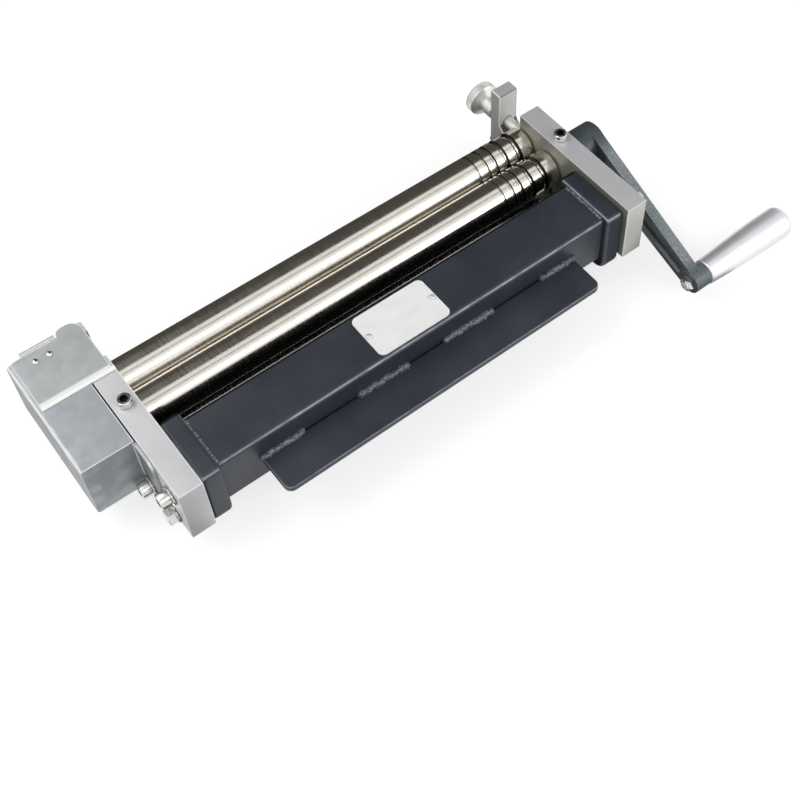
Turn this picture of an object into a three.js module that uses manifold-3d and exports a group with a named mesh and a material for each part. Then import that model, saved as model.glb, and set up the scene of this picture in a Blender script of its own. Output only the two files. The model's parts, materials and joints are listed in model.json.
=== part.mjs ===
// Slip roll machine for sheet metal and wire, held in a bench vise by its clamp flange.
// Three rolls run between two aluminium end plates: a crank turns the drive roll, a gear
// pair turns the slip roll with it, and an idle bending roll below them curls the sheet.
// Axes: X runs along the rolls (crank at +X), Y goes to the back, Z is up.
// Everything is laid out from a point midway between the end plates, at their front edge, on
// the bench; at the end the origin moves to the middle of the flange's underside. Millimetres.

import * as THREE from "three";
import { mergeVertices } from "three/addons/utils/BufferGeometryUtils.js";
import Module from "manifold-3d";

const wasm = await Module();
wasm.setup();

// Clearances
const seat = 0.3; // between pieces that are bolted, pressed or welded together
const running = 0.3; // radial, between a shaft and what it turns in
const axialPlay = 0.7; // between a roll's shoulders and an end plate

// Rolls
const rollFace = 300; // working length of each roll
const rollRadius = 12.5;
const rollGap = 0.8; // between the drive roll and the slip roll at rest
const pinchClose = 0.6; // travel of the slip roll towards the drive roll
const driveY = 74; // axis of the drive roll
const axisZ = 41.5; // height of the drive and slip rolls
const driveJournal = 6.5; // radius
const slipJournal = 5; // radius
const bendJournal = 5; // radius
const bendBehindDrive = 6; // the bending roll's axis behind the drive roll's
const bendZ = 13.5; // height of the bending roll's axis
const bendTravel = 8; // of the bending roll towards the back
const grooveWidths = [1.6, 2.0, 2.6, 3.4, 4.4]; // wire grooves, narrow to wide
const grooveLands = [6.2, 5.6, 4.2, 5.4, 6.2]; // land to the left of each groove
const grooveZoneEnd = 9.2; // plain land between the last groove and the roll's end

// End plates
const plateThick = 15;
const plateDepth = 134; // front to back
const plateTop = 64;
const toeZ = 19; // underside of the plate's front part
const heelY = 54; // where the plate starts to reach down to the bench
const stepFillet = 5;
const hornThick = 9; // upright behind the slot
const slotMouth = 20.5; // width of the slot at the top of the plate
const slotCorner = 8; // fillet at the slot's back corner
const lipCorner = 2.5; // rounded edge of the lip over the bush

// Bushes and blocks
const driveBushRadius = 10;
const slipBushRadius = 8;
const blockHeight = 17.4;
const blockFront = 10; // bending block ahead of its roll's axis
const blockBack = 20; // and behind it

// Base
const tubeSide = 38;
const tubeWall = 3;
const tubeFrontY = 7.5;
const tubeBottomZ = 20;
const capThick = 12.7;
const capDepth = 46.5;
const capHeight = 50;
const capBottomZ = 10.5;
const capFrontY = 3.5;
const capCorner = 3.5;
const capToeCorner = 9; // larger corner at the lower front edge
const flangeLength = 227;
const flangeThick = 4.5;
const flangeTopZ = 40.7;
const flangeReach = 27; // ahead of the tube
const flangeCorner = 5;

// Nameplate, left bare
const nameplateLength = 50.6;
const nameplateWidth = 32;
const nameplateThick = 0.8;
const nameplateX = -3.4;
const nameplateCorner = 4;
const nameplateRivetInset = 2.6;
const rivetRadius = 1.1;
const rivetHead = 1.9;

// Fasteners
const frameScrewRadius = 3;
const capHeadRadius = 5;
const capHeadHeight = 6;
const socketRadius = 2.6;
const hexAcross = 10;
const hexHeight = 4.5;
const washerThick = 1.2;
const frameScrewDepth = 10; // thread engaged in an end cap
const upperScrew = [12.5, 50]; // y and z of each frame fastener
const lowerScrew = [15.6, 26];
const footScrew = [38.7, 26];
const bushScrewRadius = 2.5;
const bushScrewHead = 4.4;
const bushScrewHeight = 4.4;
const bushScrewAheadLeft = 5; // of the drive roll's axis
const bushScrewAheadRight = 1;

// Screws that press the slip roll's bushes forward: a knurled knob on the right plate, a
// socket head under the lid's ear on the left one
const pressZ = 38; // height of their axis
const pressShank = 3.8;
const pressStandoff = 2.4; // thread that shows behind the horn at rest, besides the travel
const knobNeck = 6.4;
const knobNeckLength = 9;
const knobFlare = 4.3;
const knobHead = 11.6;
const knobHeadLength = 6;
const pressHead = 6.5;
const pressHeadHeight = 8;

// Adjusting screw of the bending roll
const bendScrewShank = 3;
const bendScrewHead = 4.8;
const bendScrewHeight = 4.2;
const bendScrewBite = 2; // thread in the block when the roll is fully back

// Gears
const gearModule = 2;
const gearTeeth = 13;
const gearWidth = 12;
const gearAddendum = 1.4;
const gearDedendum = 2.5;
const toothThinning = 0.5; // gives the backlash that the adjustment needs
const gearStandoff = 2; // between an end plate and its gear
const gearNutHeight = 5;
const gearNutAcross = 17;
const gearNutBore = 5;
const shaftStub = 1.5; // shaft end past its nut

// Gear cover
const sheet = 1.5;
const coverWidth = 32.3; // along X
const coverFrontY = 45;
const coverInset = 3.1; // its back wall ahead of the plate's back
const coverBottomZ = 20;
const coverGap = 1; // dark line between cover and plate
const coverCorner = 2.2;
const footLength = 19; // flange of the cover on the end plate
const footDrop = 2; // its top edge below the plate's top
const footCorner = 8;
const lidSheet = 1;
const lidDepth = 39.3; // from its hem to the cover's back wall
const lidInset = 3.5; // lid edge from the cover's left wall
const lidOverPlate = 13.2; // lid over the end plate
const lidLip = 3.4;
const earCorner = 7.2;
const earInnerCorner = 5; // beside the hinge
const earReach = 2; // ear past the plate's back
const hingeLength = 21.6;
const hingeRadius = 2;
const hingePinRadius = 0.9;
const hingeLeaf = 0.9;
const hingeDrop = 1.3; // the pin's axis below the lid's underside
const lidLeafReach = 15;
const lidRivetBack = 10; // lid rivets ahead of the pin
const lidRivetPitch = 8.5;
const fixedLeafReach = 16;
const knuckleGap = 0.3;

// Crank
const crankReach = 117.4; // hub axis to handle axis
const crankDrop = 10.4; // degrees that the arm hangs below level at rest
const crankStandoff = 2.5;
const crankShaft = 5.5;
const shaftFlat = 4.3; // from the shaft's axis to the flat that the crank sits on
const hubRadius = 13;
const hubLength = 22.3;
const armThick = 7.4;
const armHubWidth = 12.9; // half width at the hub
const armBossWidth = 7.4; // half width at the boss
const armSlant = 13.5; // the boss end stands this much closer to the plate than the hub end
const bossRadius = 7.8;
const bossLength = 12.4;
const bossInner = 1.3; // the boss starts this much further out than the hub
const webThick = 2.6;
const webRim = 3.4;
const crankWasher = 7.5;
const crankSink = 3; // recess in the hub's outer face for washer and bolt
const crankBoltRadius = 3;
const crankBoltDepth = 12;
const handleLength = 70;
const handleRadii = [8.4, 9.3, 10.2, 10.7, 10.8]; // at even steps from the small end
const handleRound = 4.5;
const spindleRadius = 3.5;
const spindleHead = 6.2;
const spindleHeadHeight = 4;
const spindleNutAcross = 9;
const spindleNutHeight = 3.4;
const spindleTip = 0.8;

// Derived places
const slipY = driveY + 2 * rollRadius + rollGap;
const bendY = driveY + bendBehindDrive;
const shoulderX = rollFace / 2;
const plateInnerX = shoulderX + axialPlay;
const plateOuterX = plateInnerX + plateThick;
const plateMidX = plateInnerX + plateThick / 2;
const hornY = plateDepth - hornThick;
const lipY = hornY - slotMouth;
const pitchRadius = (gearModule * gearTeeth) / 2;
const gearRoot = pitchRadius - gearDedendum;
const gearInnerX = -plateOuterX - gearStandoff;
const gearOuterX = gearInnerX - gearWidth;
const coverRightX = -plateOuterX - coverGap;
const coverLeftX = coverRightX - coverWidth;
const coverBackY = plateDepth - coverInset;
const lidFrontY = coverBackY - lidDepth;
const lidBottomZ = plateTop + seat;
const hubX = plateOuterX + crankStandoff;
const bossX = hubX + bossInner;
const handleX = bossX + bossLength + seat;
const crankAngle = THREE.MathUtils.degToRad(crankDrop);
const handleY = driveY - crankReach * Math.cos(crankAngle);
const handleZ = axisZ - crankReach * Math.sin(crankAngle);

// Finishes
function finish(color, metalness, roughness) {
  return new THREE.MeshStandardMaterial({ color, metalness, roughness });
}
const groundSteel = finish(0xcfc8bc, 1, 0.22);
const brightSteel = finish(0xc4c6c8, 1, 0.35);
const zincSheet = finish(0xb4bcbd, 1, 0.42);
const aluminium = finish(0xc3c3c8, 1, 0.4);
const darkPaint = finish(0x343a46, 0, 0.45);
const greenPaint = finish(0x46545a, 0, 0.55);
const bronze = finish(0xb59a5c, 1, 0.4);
const plateWhite = finish(0xe4e4e2, 0.4, 0.4);

// Turns of a local frame: the extrusion or lathe axis becomes X, Y or Z
const alongX = new THREE.Matrix4().makeBasis(
  new THREE.Vector3(0, 1, 0), new THREE.Vector3(0, 0, 1), new THREE.Vector3(1, 0, 0));
const alongY = new THREE.Matrix4().makeBasis(
  new THREE.Vector3(0, 0, 1), new THREE.Vector3(1, 0, 0), new THREE.Vector3(0, 1, 0));
const latheX = alongY;
const latheZ = alongX;

// A closed mesh as a solid that can be cut and joined
function solid(geometry) {
  const bare = geometry.clone();
  bare.deleteAttribute("normal");
  bare.deleteAttribute("uv");
  const merged = mergeVertices(bare, 1e-4);
  const index = merged.getIndex().array;
  const triangles = [];
  for (let i = 0; i < index.length; i += 3) {
    const [a, b, c] = [index[i], index[i + 1], index[i + 2]];
    if (a !== b && b !== c && c !== a) triangles.push(a, b, c);
  }
  return new wasm.Manifold(new wasm.Mesh({
    numProp: 3,
    vertProperties: new Float32Array(merged.getAttribute("position").array),
    triVerts: new Uint32Array(triangles),
  }));
}

// A solid back as a mesh, with flat faces
function geometryOf(manifold) {
  const mesh = manifold.getMesh();
  const geometry = new THREE.BufferGeometry();
  geometry.setAttribute("position", new THREE.BufferAttribute(new Float32Array(mesh.vertProperties), 3));
  geometry.setIndex(new THREE.BufferAttribute(new Uint32Array(mesh.triVerts), 1));
  const flat = geometry.toNonIndexed();
  flat.computeVertexNormals();
  return flat;
}

function cut(body, ...tools) {
  return tools.reduce((rest, tool) => rest.subtract(tool), body);
}

function join(first, ...others) {
  return others.reduce((sum, other) => sum.add(other), first);
}

// A profile of [height, radius] pairs turned about X, Y or Z
function turned(profile, segments, matrix) {
  const points = profile.map(([height, radius]) => new THREE.Vector2(radius, height));
  const geometry = new THREE.LatheGeometry(points, segments);
  if (matrix) geometry.applyMatrix4(matrix);
  return solid(geometry);
}

// A plain rod or drill between two heights along its axis
function rod(from, to, radius, segments, matrix) {
  return turned([[from, 0], [from, radius], [to, radius], [to, 0]], segments, matrix);
}

// A ring between two heights along its axis
function ring(from, to, inner, outer, segments, matrix) {
  return turned([[from, inner], [from, outer], [to, outer], [to, inner], [from, inner]], segments, matrix);
}

function moved(body, x, y, z) {
  return body.translate([x, y, z]);
}

// A flat outline pushed from one level to another, along X, Y or Z
function extruded(shape, from, to, matrix, curveSegments = 6) {
  const geometry = new THREE.ExtrudeGeometry(shape, {
    depth: to - from, bevelEnabled: false, curveSegments,
  });
  geometry.translate(0, 0, from);
  if (matrix) geometry.applyMatrix4(matrix);
  return solid(geometry);
}

function box(x0, x1, y0, y1, z0, z1) {
  const geometry = new THREE.BoxGeometry(x1 - x0, y1 - y0, z1 - z0);
  geometry.translate((x0 + x1) / 2, (y0 + y1) / 2, (z0 + z1) / 2);
  return solid(geometry);
}

// An outline through corners of [u, v, fillet radius]
function filleted(corners) {
  const shape = new THREE.Shape();
  const count = corners.length;
  for (let i = 0; i < count; i++) {
    const [u, v, radius = 0] = corners[i];
    const corner = new THREE.Vector2(u, v);
    const before = new THREE.Vector2(...corners[(i + count - 1) % count].slice(0, 2));
    const after = new THREE.Vector2(...corners[(i + 1) % count].slice(0, 2));
    const back = before.sub(corner).normalize();
    const ahead = after.sub(corner).normalize();
    const half = Math.acos(THREE.MathUtils.clamp(back.dot(ahead), -1, 1)) / 2;
    const length = radius / Math.tan(half);
    const start = corner.clone().addScaledVector(back, length);
    if (i === 0) shape.moveTo(start.x, start.y);
    else shape.lineTo(start.x, start.y);
    if (radius > 0) {
      const middle = back.clone().add(ahead).normalize();
      const centre = corner.clone().addScaledVector(middle, radius / Math.sin(half));
      const end = corner.clone().addScaledVector(ahead, length);
      const from = Math.atan2(start.y - centre.y, start.x - centre.x);
      const to = Math.atan2(end.y - centre.y, end.x - centre.x);
      const turn = Math.atan2(Math.sin(to - from), Math.cos(to - from));
      shape.absarc(centre.x, centre.y, radius, from, to, turn < 0);
    }
  }
  shape.closePath();
  return shape;
}

function hexagon(across, turn = 0) {
  const shape = new THREE.Shape();
  const radius = across / Math.sqrt(3);
  for (let i = 0; i < 6; i++) {
    const angle = turn + (i * Math.PI) / 3;
    const point = [radius * Math.cos(angle), radius * Math.sin(angle)];
    if (i === 0) shape.moveTo(...point);
    else shape.lineTo(...point);
  }
  shape.closePath();
  return shape;
}

const machine = new THREE.Group();
machine.name = "slip_roll_machine";

function piece(name, body, material, parent = machine) {
  const mesh = new THREE.Mesh(geometryOf(body), material);
  mesh.name = name;
  parent.add(mesh);
  return mesh;
}

const sides = [["left", -1], ["right", 1]];

// Base: square tube with a solid cap welded into each end and the clamp flange in front

function baseTube() {
  const half = shoulderX + axialPlay - seat - capThick - seat;
  const back = tubeFrontY + tubeSide;
  const top = tubeBottomZ + tubeSide;
  const outline = filleted([
    [tubeFrontY, tubeBottomZ, tubeWall], [back, tubeBottomZ, tubeWall],
    [back, top, tubeWall], [tubeFrontY, top, tubeWall]]);
  const bore = box(-half - 1, half + 1, tubeFrontY + tubeWall, back - tubeWall,
    tubeBottomZ + tubeWall, top - tubeWall);
  const rivetHoles = nameplateRivetPlaces().map(([x, y]) =>
    moved(rod(top - 2 * tubeWall, top + 1, rivetRadius + seat, 12, latheZ), x, y, 0));
  return cut(extruded(outline, -half, half, alongX, 3), bore, ...rivetHoles);
}

function endCap(side) {
  const back = capFrontY + capDepth;
  const top = capBottomZ + capHeight;
  const outline = filleted([
    [capFrontY, capBottomZ, capToeCorner], [back, capBottomZ, capCorner],
    [back, top, capCorner], [capFrontY, top, capCorner]]);
  const outer = plateInnerX - seat;
  const block = extruded(outline, outer - capThick, outer, alongX, 5);
  const holes = [upperScrew, lowerScrew, footScrew].map(([y, z]) =>
    moved(rod(outer - frameScrewDepth - seat, outer + 1, frameScrewRadius + seat, 16, latheX), 0, y, z));
  const cap = cut(block, ...holes);
  return side < 0 ? cap.mirror([1, 0, 0]) : cap;
}

function clampFlange() {
  const back = tubeFrontY - seat;
  const front = tubeFrontY - flangeReach;
  const half = flangeLength / 2;
  const outline = filleted([
    [-half, front, flangeCorner], [half, front, flangeCorner], [half, back], [-half, back]]);
  return extruded(outline, flangeTopZ - flangeThick, flangeTopZ, null, 4);
}

function nameplateRivetPlaces() {
  const y = tubeFrontY + tubeSide / 2 - 1;
  const reach = nameplateLength / 2 - nameplateRivetInset;
  return [[nameplateX - reach, y], [nameplateX + reach, y]];
}

function nameplate() {
  const [, y] = nameplateRivetPlaces()[0];
  const [u, v] = [nameplateLength / 2, nameplateWidth / 2];
  const outline = filleted([
    [nameplateX - u, y - v, nameplateCorner], [nameplateX + u, y - v, nameplateCorner],
    [nameplateX + u, y + v, nameplateCorner], [nameplateX - u, y + v, nameplateCorner]]);
  const bottom = tubeBottomZ + tubeSide + seat;
  const holes = nameplateRivetPlaces().map(([x, yy]) =>
    moved(rod(bottom - 1, bottom + nameplateThick + 1, rivetRadius + seat, 12, latheZ), x, yy, 0));
  return cut(extruded(outline, bottom, bottom + nameplateThick, null, 4), ...holes);
}

// Round-headed rivet standing on a level, its shank below it
function rivet(level, shankLength) {
  return turned([
    [level - shankLength, 0], [level - shankLength, rivetRadius], [level + seat, rivetRadius],
    [level + seat, rivetHead], [level + seat + 0.5, rivetHead * 0.86], [level + seat + 1, rivetHead * 0.4],
    [level + seat + 1.1, 0]], 12, latheZ);
}

function nameplateRivet([x, y]) {
  const level = tubeBottomZ + tubeSide + seat + nameplateThick;
  return moved(rivet(level, nameplateThick + seat + tubeWall / 2), x, y, 0);
}

// End plates: open slot for the slip roll's bush, bore for the drive bush, window for the
// bending block, and an upright horn that carries the screw pressing on that bush

function slotReliefFront() {
  return slipY - pinchClose - slipBushRadius - seat;
}

function plateOutline() {
  const channelTop = axisZ + slipBushRadius + seat;
  const channelBottom = axisZ - slipBushRadius - seat;
  const channelRadius = slipBushRadius + seat - 0.01;
  return filleted([
    [0, toeZ], [heelY, toeZ, stepFillet], [heelY, 0], [plateDepth, 0], [plateDepth, plateTop],
    [hornY, plateTop], [hornY, channelBottom, slotCorner],
    [slotReliefFront(), channelBottom, channelRadius], [slotReliefFront(), channelTop, channelRadius],
    [lipY, channelTop, lipCorner], [lipY, plateTop], [0, plateTop]]);
}

function bushScrewY(side) {
  return driveY - (side < 0 ? bushScrewAheadLeft : bushScrewAheadRight);
}

function endPlate(side) {
  const [inner, outer] = [plateInnerX, plateOuterX];
  const body = extruded(plateOutline(), inner, outer, alongX, 5);
  const through = (y, z, radius, segments) =>
    moved(rod(inner - 1, outer + 1, radius, segments, latheX), 0, y, z);
  const windowHalf = blockHeight / 2 + seat;
  const window = box(inner - 1, outer + 1, bendY - blockFront - seat, bendY + blockBack + bendTravel + seat,
    bendZ - windowHalf, bendZ + windowHalf);
  const tools = [
    through(driveY, axisZ, driveBushRadius + seat, 28),
    window,
    ...[upperScrew, lowerScrew, footScrew].map(([y, z]) => through(y, z, frameScrewRadius + seat, 16)),
    moved(rod(axisZ, plateTop + 1, bushScrewRadius + seat, 16, latheZ), plateMidX, bushScrewY(side), 0),
    moved(rod(hornY - slotCorner, plateDepth + 1, pressShank + seat, 20), plateMidX, 0, pressZ),
    moved(rod(bendY + blockBack, plateDepth + 1, bendScrewShank + seat, 20), plateMidX, 0, bendZ),
  ];
  const plate = cut(body, ...tools);
  return side < 0 ? plate.mirror([1, 0, 0]) : plate;
}

// Fasteners: local X points out of the plate, with zero on the seat under the head

function capScrew(shank) {
  const body = turned([
    [-shank, 0], [-shank, frameScrewRadius], [0, frameScrewRadius], [0, capHeadRadius],
    [capHeadHeight - 0.6, capHeadRadius], [capHeadHeight, capHeadRadius - 0.6],
    [capHeadHeight, 0]], 20, latheX);
  const socket = extruded(hexagon(2 * socketRadius), capHeadHeight - 3, capHeadHeight + 1, alongX);
  return cut(body, socket);
}

function hexBolt(shank) {
  const head = extruded(hexagon(hexAcross, Math.PI / 6), 0, hexHeight, alongX);
  return join(head, rod(-shank, 0.5, frameScrewRadius, 16, latheX));
}

function washer() {
  return ring(-washerThick, 0, frameScrewRadius + seat, capHeadRadius + 1.2, 20, latheX);
}

// One screw and its washer; the left plate's third screw also holds the gear cover's foot
function frameScrew(side, [y, z], head) {
  const foot = side < 0 && y === footScrew[0] ? sheet + seat : 0;
  const washerTop = plateOuterX + foot + seat + washerThick;
  const shank = plateThick + 2 * seat + frameScrewDepth + foot + washerThick;
  const screw = moved(head(shank), washerTop + seat, y, z);
  const ringBelow = moved(washer(), washerTop, y, z);
  return [screw, ringBelow].map((body) => (side < 0 ? body.mirror([1, 0, 0]) : body));
}

function bushScrew() {
  const tip = axisZ + driveBushRadius + seat - plateTop;
  const body = turned([
    [tip, 0], [tip, bushScrewRadius], [seat, bushScrewRadius], [seat, bushScrewHead],
    [bushScrewHeight - 0.8, bushScrewHead], [bushScrewHeight + seat, bushScrewHead - 0.9],
    [bushScrewHeight + seat, 0]], 20, latheZ);
  const socket = extruded(hexagon(2 * bushScrewRadius), bushScrewHeight - 2.4, bushScrewHeight + 2, null);
  return cut(body, socket);
}

sides.forEach(([name, side]) => {
  piece(`end_cap_${name}`, endCap(side), darkPaint);
  piece(`end_plate_${name}`, endPlate(side), aluminium);
  [["upper", upperScrew, capScrew], ["lower", lowerScrew, hexBolt], ["foot", footScrew, capScrew]]
    .forEach(([place, at, head]) => {
      const [screw, ringBelow] = frameScrew(side, at, head);
      piece(`${place}_screw_${name}`, screw, brightSteel);
      piece(`${place}_washer_${name}`, ringBelow, brightSteel);
    });
  piece(`bush_screw_${name}`, bushScrew(), brightSteel)
    .position.set(side * plateMidX, bushScrewY(side), plateTop);
  const bush = ring(-plateThick / 2, plateThick / 2, driveJournal + running, driveBushRadius, 28, latheX);
  piece(`drive_bush_${name}`, bush, bronze).position.set(side * plateMidX, driveY, axisZ);
});
piece("base_tube", baseTube(), darkPaint);
piece("clamp_flange", clampFlange(), darkPaint);
piece("nameplate", nameplate(), plateWhite);
nameplateRivetPlaces().forEach((place, i) =>
  piece(`nameplate_rivet_${sides[i][0]}`, nameplateRivet(place), brightSteel));

// Rolls: ground bars with turned journals and a row of wire grooves near the right end

function grooveProfile() {
  const profile = [];
  const zone = grooveZoneEnd + grooveWidths.reduce((a, b) => a + b, 0)
    + grooveLands.slice(1).reduce((a, b) => a + b, 0);
  let x = shoulderX - zone;
  grooveWidths.forEach((width, i) => {
    if (i > 0) x += grooveLands[i];
    const radius = width / 2;
    for (let step = 0; step <= 3; step++) {
      const angle = (Math.PI * step) / 3;
      profile.push([x + radius - radius * Math.cos(angle), rollRadius - radius * Math.sin(angle)]);
    }
    x += width;
  });
  return profile;
}

function roll(leftShaft, rightShaft, grooved) {
  const chamfer = 0.6;
  const profile = [
    ...leftShaft,
    [-shoulderX, rollRadius - chamfer], [-shoulderX + chamfer, rollRadius],
    ...(grooved ? grooveProfile() : []),
    [shoulderX - chamfer, rollRadius], [shoulderX, rollRadius - chamfer],
    ...rightShaft];
  return turned(profile, 28, latheX);
}

const gearShaftEnd = gearOuterX - seat - gearNutHeight - shaftStub;
const crankShaftEnd = hubX + hubLength - crankSink - 0.5;

function driveRoll() {
  const left = [
    [gearShaftEnd, 0], [gearShaftEnd, gearNutBore], [gearOuterX + 1, gearNutBore],
    [gearOuterX + 1, driveJournal], [-shoulderX, driveJournal]];
  const right = [
    [shoulderX, driveJournal], [hubX - seat, driveJournal], [hubX - seat, crankShaft],
    [crankShaftEnd, crankShaft], [crankShaftEnd, 0]];
  const flat = box(hubX - seat, crankShaftEnd + 1, -crankShaft, crankShaft, shaftFlat, crankShaft + 1)
    .rotate([crankDrop, 0, 0]);
  const drill = rod(crankShaftEnd - crankBoltDepth, crankShaftEnd + 1, crankBoltRadius + seat, 16, latheX);
  return cut(roll(left, right, true), flat, drill);
}

function slipRoll() {
  const left = [[gearShaftEnd, 0], [gearShaftEnd, slipJournal], [-shoulderX, slipJournal]];
  const right = [[shoulderX, slipJournal], [plateOuterX - 1, slipJournal], [plateOuterX - 1, 0]];
  return roll(left, right, true);
}

function bendRoll() {
  const end = plateOuterX - 1;
  const left = [[-end, 0], [-end, bendJournal], [-shoulderX, bendJournal]];
  const right = [[shoulderX, bendJournal], [end, bendJournal], [end, 0]];
  return roll(left, right, false);
}

// Spur gear with involute flanks; one tooth points along +Y

function gearOutline() {
  const base = pitchRadius * Math.cos(THREE.MathUtils.degToRad(20));
  const tip = pitchRadius + gearAddendum;
  const involute = (radius) => {
    if (radius <= base) return 0;
    const pressure = Math.acos(base / radius);
    return Math.tan(pressure) - pressure;
  };
  const halfAtPitch = (Math.PI * gearModule / 2 - toothThinning) / (2 * pitchRadius);
  const half = (radius) => halfAtPitch + involute(pitchRadius) - involute(radius);
  const radii = [gearRoot, base, (base + pitchRadius) / 2 + 0.3, (pitchRadius + tip) / 2, tip];
  const shape = new THREE.Shape();
  for (let tooth = 0; tooth < gearTeeth; tooth++) {
    const middle = (2 * Math.PI * tooth) / gearTeeth;
    const rising = radii.map((radius) => [radius, middle - half(radius)]);
    const falling = radii.slice().reverse().map((radius) => [radius, middle + half(radius)]);
    [...rising, ...falling].forEach(([radius, angle], i) => {
      const point = [radius * Math.cos(angle), radius * Math.sin(angle)];
      if (tooth === 0 && i === 0) shape.moveTo(...point);
      else shape.lineTo(...point);
    });
  }
  shape.closePath();
  return shape;
}

function gear(bore) {
  return cut(extruded(gearOutline(), gearOuterX, gearInnerX, alongX),
    rod(gearOuterX - 1, gearInnerX + 1, bore + seat, 24, latheX));
}

function hexNut(from, height, across, bore) {
  return cut(extruded(hexagon(across), from, from + height, alongX),
    rod(from - 1, from + height + 1, bore + seat, 24, latheX));
}

function gearNut(bore) {
  return hexNut(gearOuterX - seat - gearNutHeight, gearNutHeight, gearNutAcross, bore);
}

const driveGroup = new THREE.Group();
driveGroup.position.set(0, driveY, axisZ);
machine.add(driveGroup);
piece("drive_roll", driveRoll(), groundSteel, driveGroup);
piece("drive_gear", gear(driveJournal), brightSteel, driveGroup);
piece("drive_gear_nut", gearNut(gearNutBore), brightSteel, driveGroup);

const slipGroup = new THREE.Group();
slipGroup.position.set(0, slipY, axisZ);
machine.add(slipGroup);
piece("slip_roll", slipRoll(), groundSteel, slipGroup);
piece("slip_gear", gear(slipJournal), brightSteel, slipGroup);
piece("slip_gear_nut", gearNut(slipJournal), brightSteel, slipGroup);

const bendGroup = new THREE.Group();
bendGroup.position.set(0, bendY, bendZ);
machine.add(bendGroup);
piece("bending_roll", bendRoll(), groundSteel, bendGroup);

// Slip roll bushes and the screws that press on them. The screws' local origin is on the
// slip roll's axis, in the middle of the end plate.

const pressTip = slipBushRadius + seat;
const pressUnder = plateDepth + pinchClose + pressStandoff - slipY; // under the head at rest

function knobScrew() {
  const flare = pressUnder + knobNeckLength;
  const head = flare + knobFlare;
  const end = head + knobHeadLength;
  return turned([
    [pressTip, 0], [pressTip, pressShank - 1], [pressTip + 1.5, pressShank],
    [pressUnder, pressShank], [pressUnder, knobNeck],
    [flare - 1.2, knobNeck], [flare - 0.8, knobNeck - 0.8], [flare, knobNeck - 0.8],
    [head - 0.8, knobHead - 0.5], [head, knobHead], [end - 0.8, knobHead], [end, knobHead - 0.8],
    [end, knobHead * 0.62], [end - 0.8, knobHead * 0.5], [end - 0.8, 0]], 24);
}

function socketScrew() {
  const top = pressUnder + pressHeadHeight;
  const body = turned([
    [pressTip, 0], [pressTip, pressShank - 1], [pressTip + 1.5, pressShank],
    [pressUnder, pressShank], [pressUnder, pressHead], [top - 0.7, pressHead],
    [top, pressHead - 0.7], [top, 0]], 24);
  return cut(body, extruded(hexagon(6), top - 4, top + 1, alongY));
}

// Bending blocks slide in the plate windows and are drawn back by their screws

function bendingBlock() {
  const half = (plateThick - 2 * seat) / 2;
  const outline = filleted([
    [-blockFront, -blockHeight / 2, 1], [blockBack, -blockHeight / 2, 1],
    [blockBack, blockHeight / 2, 1], [-blockFront, blockHeight / 2, 1]]);
  const tapDepth = bendTravel + 2 * bendScrewBite;
  return cut(extruded(outline, -half, half, alongX, 2),
    rod(-half - 1, half + 1, bendJournal + running, 24, latheX),
    rod(blockBack - tapDepth, blockBack + 1, bendScrewShank + seat, 20));
}

function bendingScrew() {
  const tip = bendY + blockBack - bendScrewBite;
  const under = plateDepth + seat;
  const top = under + bendScrewHeight;
  const body = turned([
    [tip, 0], [tip, bendScrewShank], [under, bendScrewShank], [under, bendScrewHead],
    [top - 0.6, bendScrewHead], [top, bendScrewHead - 0.6], [top, 0]], 24);
  const socket = extruded(hexagon(5), top - 2.6, top + 1, alongY);
  return cut(body, socket);
}

sides.forEach(([name, side]) => {
  const bushHalf = (plateThick - 2 * seat) / 2;
  const bush = ring(-bushHalf, bushHalf, slipJournal + running, slipBushRadius, 28, latheX);
  piece(`slip_bush_${name}`, bush, bronze).position.set(side * plateMidX, slipY, axisZ);
  piece(`press_screw_${name}`, side < 0 ? socketScrew() : knobScrew(), side < 0 ? brightSteel : aluminium)
    .position.set(side * plateMidX, slipY, pressZ);
  piece(`bending_block_${name}`, bendingBlock(), brightSteel).position.set(side * plateMidX, bendY, bendZ);
  piece(`bending_screw_${name}`, bendingScrew(), brightSteel).position.set(side * plateMidX, 0, bendZ);
});

// Gear cover: folded sheet box, open towards the plate, with a hinged lid over its back half

function gearCover() {
  const outline = filleted([
    [coverBottomZ, coverLeftX, coverCorner], [plateTop, coverLeftX, coverCorner],
    [plateTop, coverRightX], [coverBottomZ, coverRightX]]);
  const shell = extruded(outline, coverFrontY, coverBackY, alongY, 3);
  const inside = box(coverLeftX + sheet, coverRightX + 1, coverFrontY + sheet, coverBackY - sheet,
    coverBottomZ + sheet, plateTop - sheet);
  const mouth = box(coverLeftX + 2 * sheet, coverRightX + 1, lidFrontY, coverBackY - sheet,
    plateTop - 2 * sheet, plateTop + 1);
  const leafNotch = box(hingeLeftX - 0.5, coverRightX + 1, coverBackY - 2 * sheet, coverBackY + 1,
    plateTop - hingeLeaf - seat, plateTop + 1);
  return join(cut(shell, inside, mouth, leafNotch), coverFoot());
}

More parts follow.
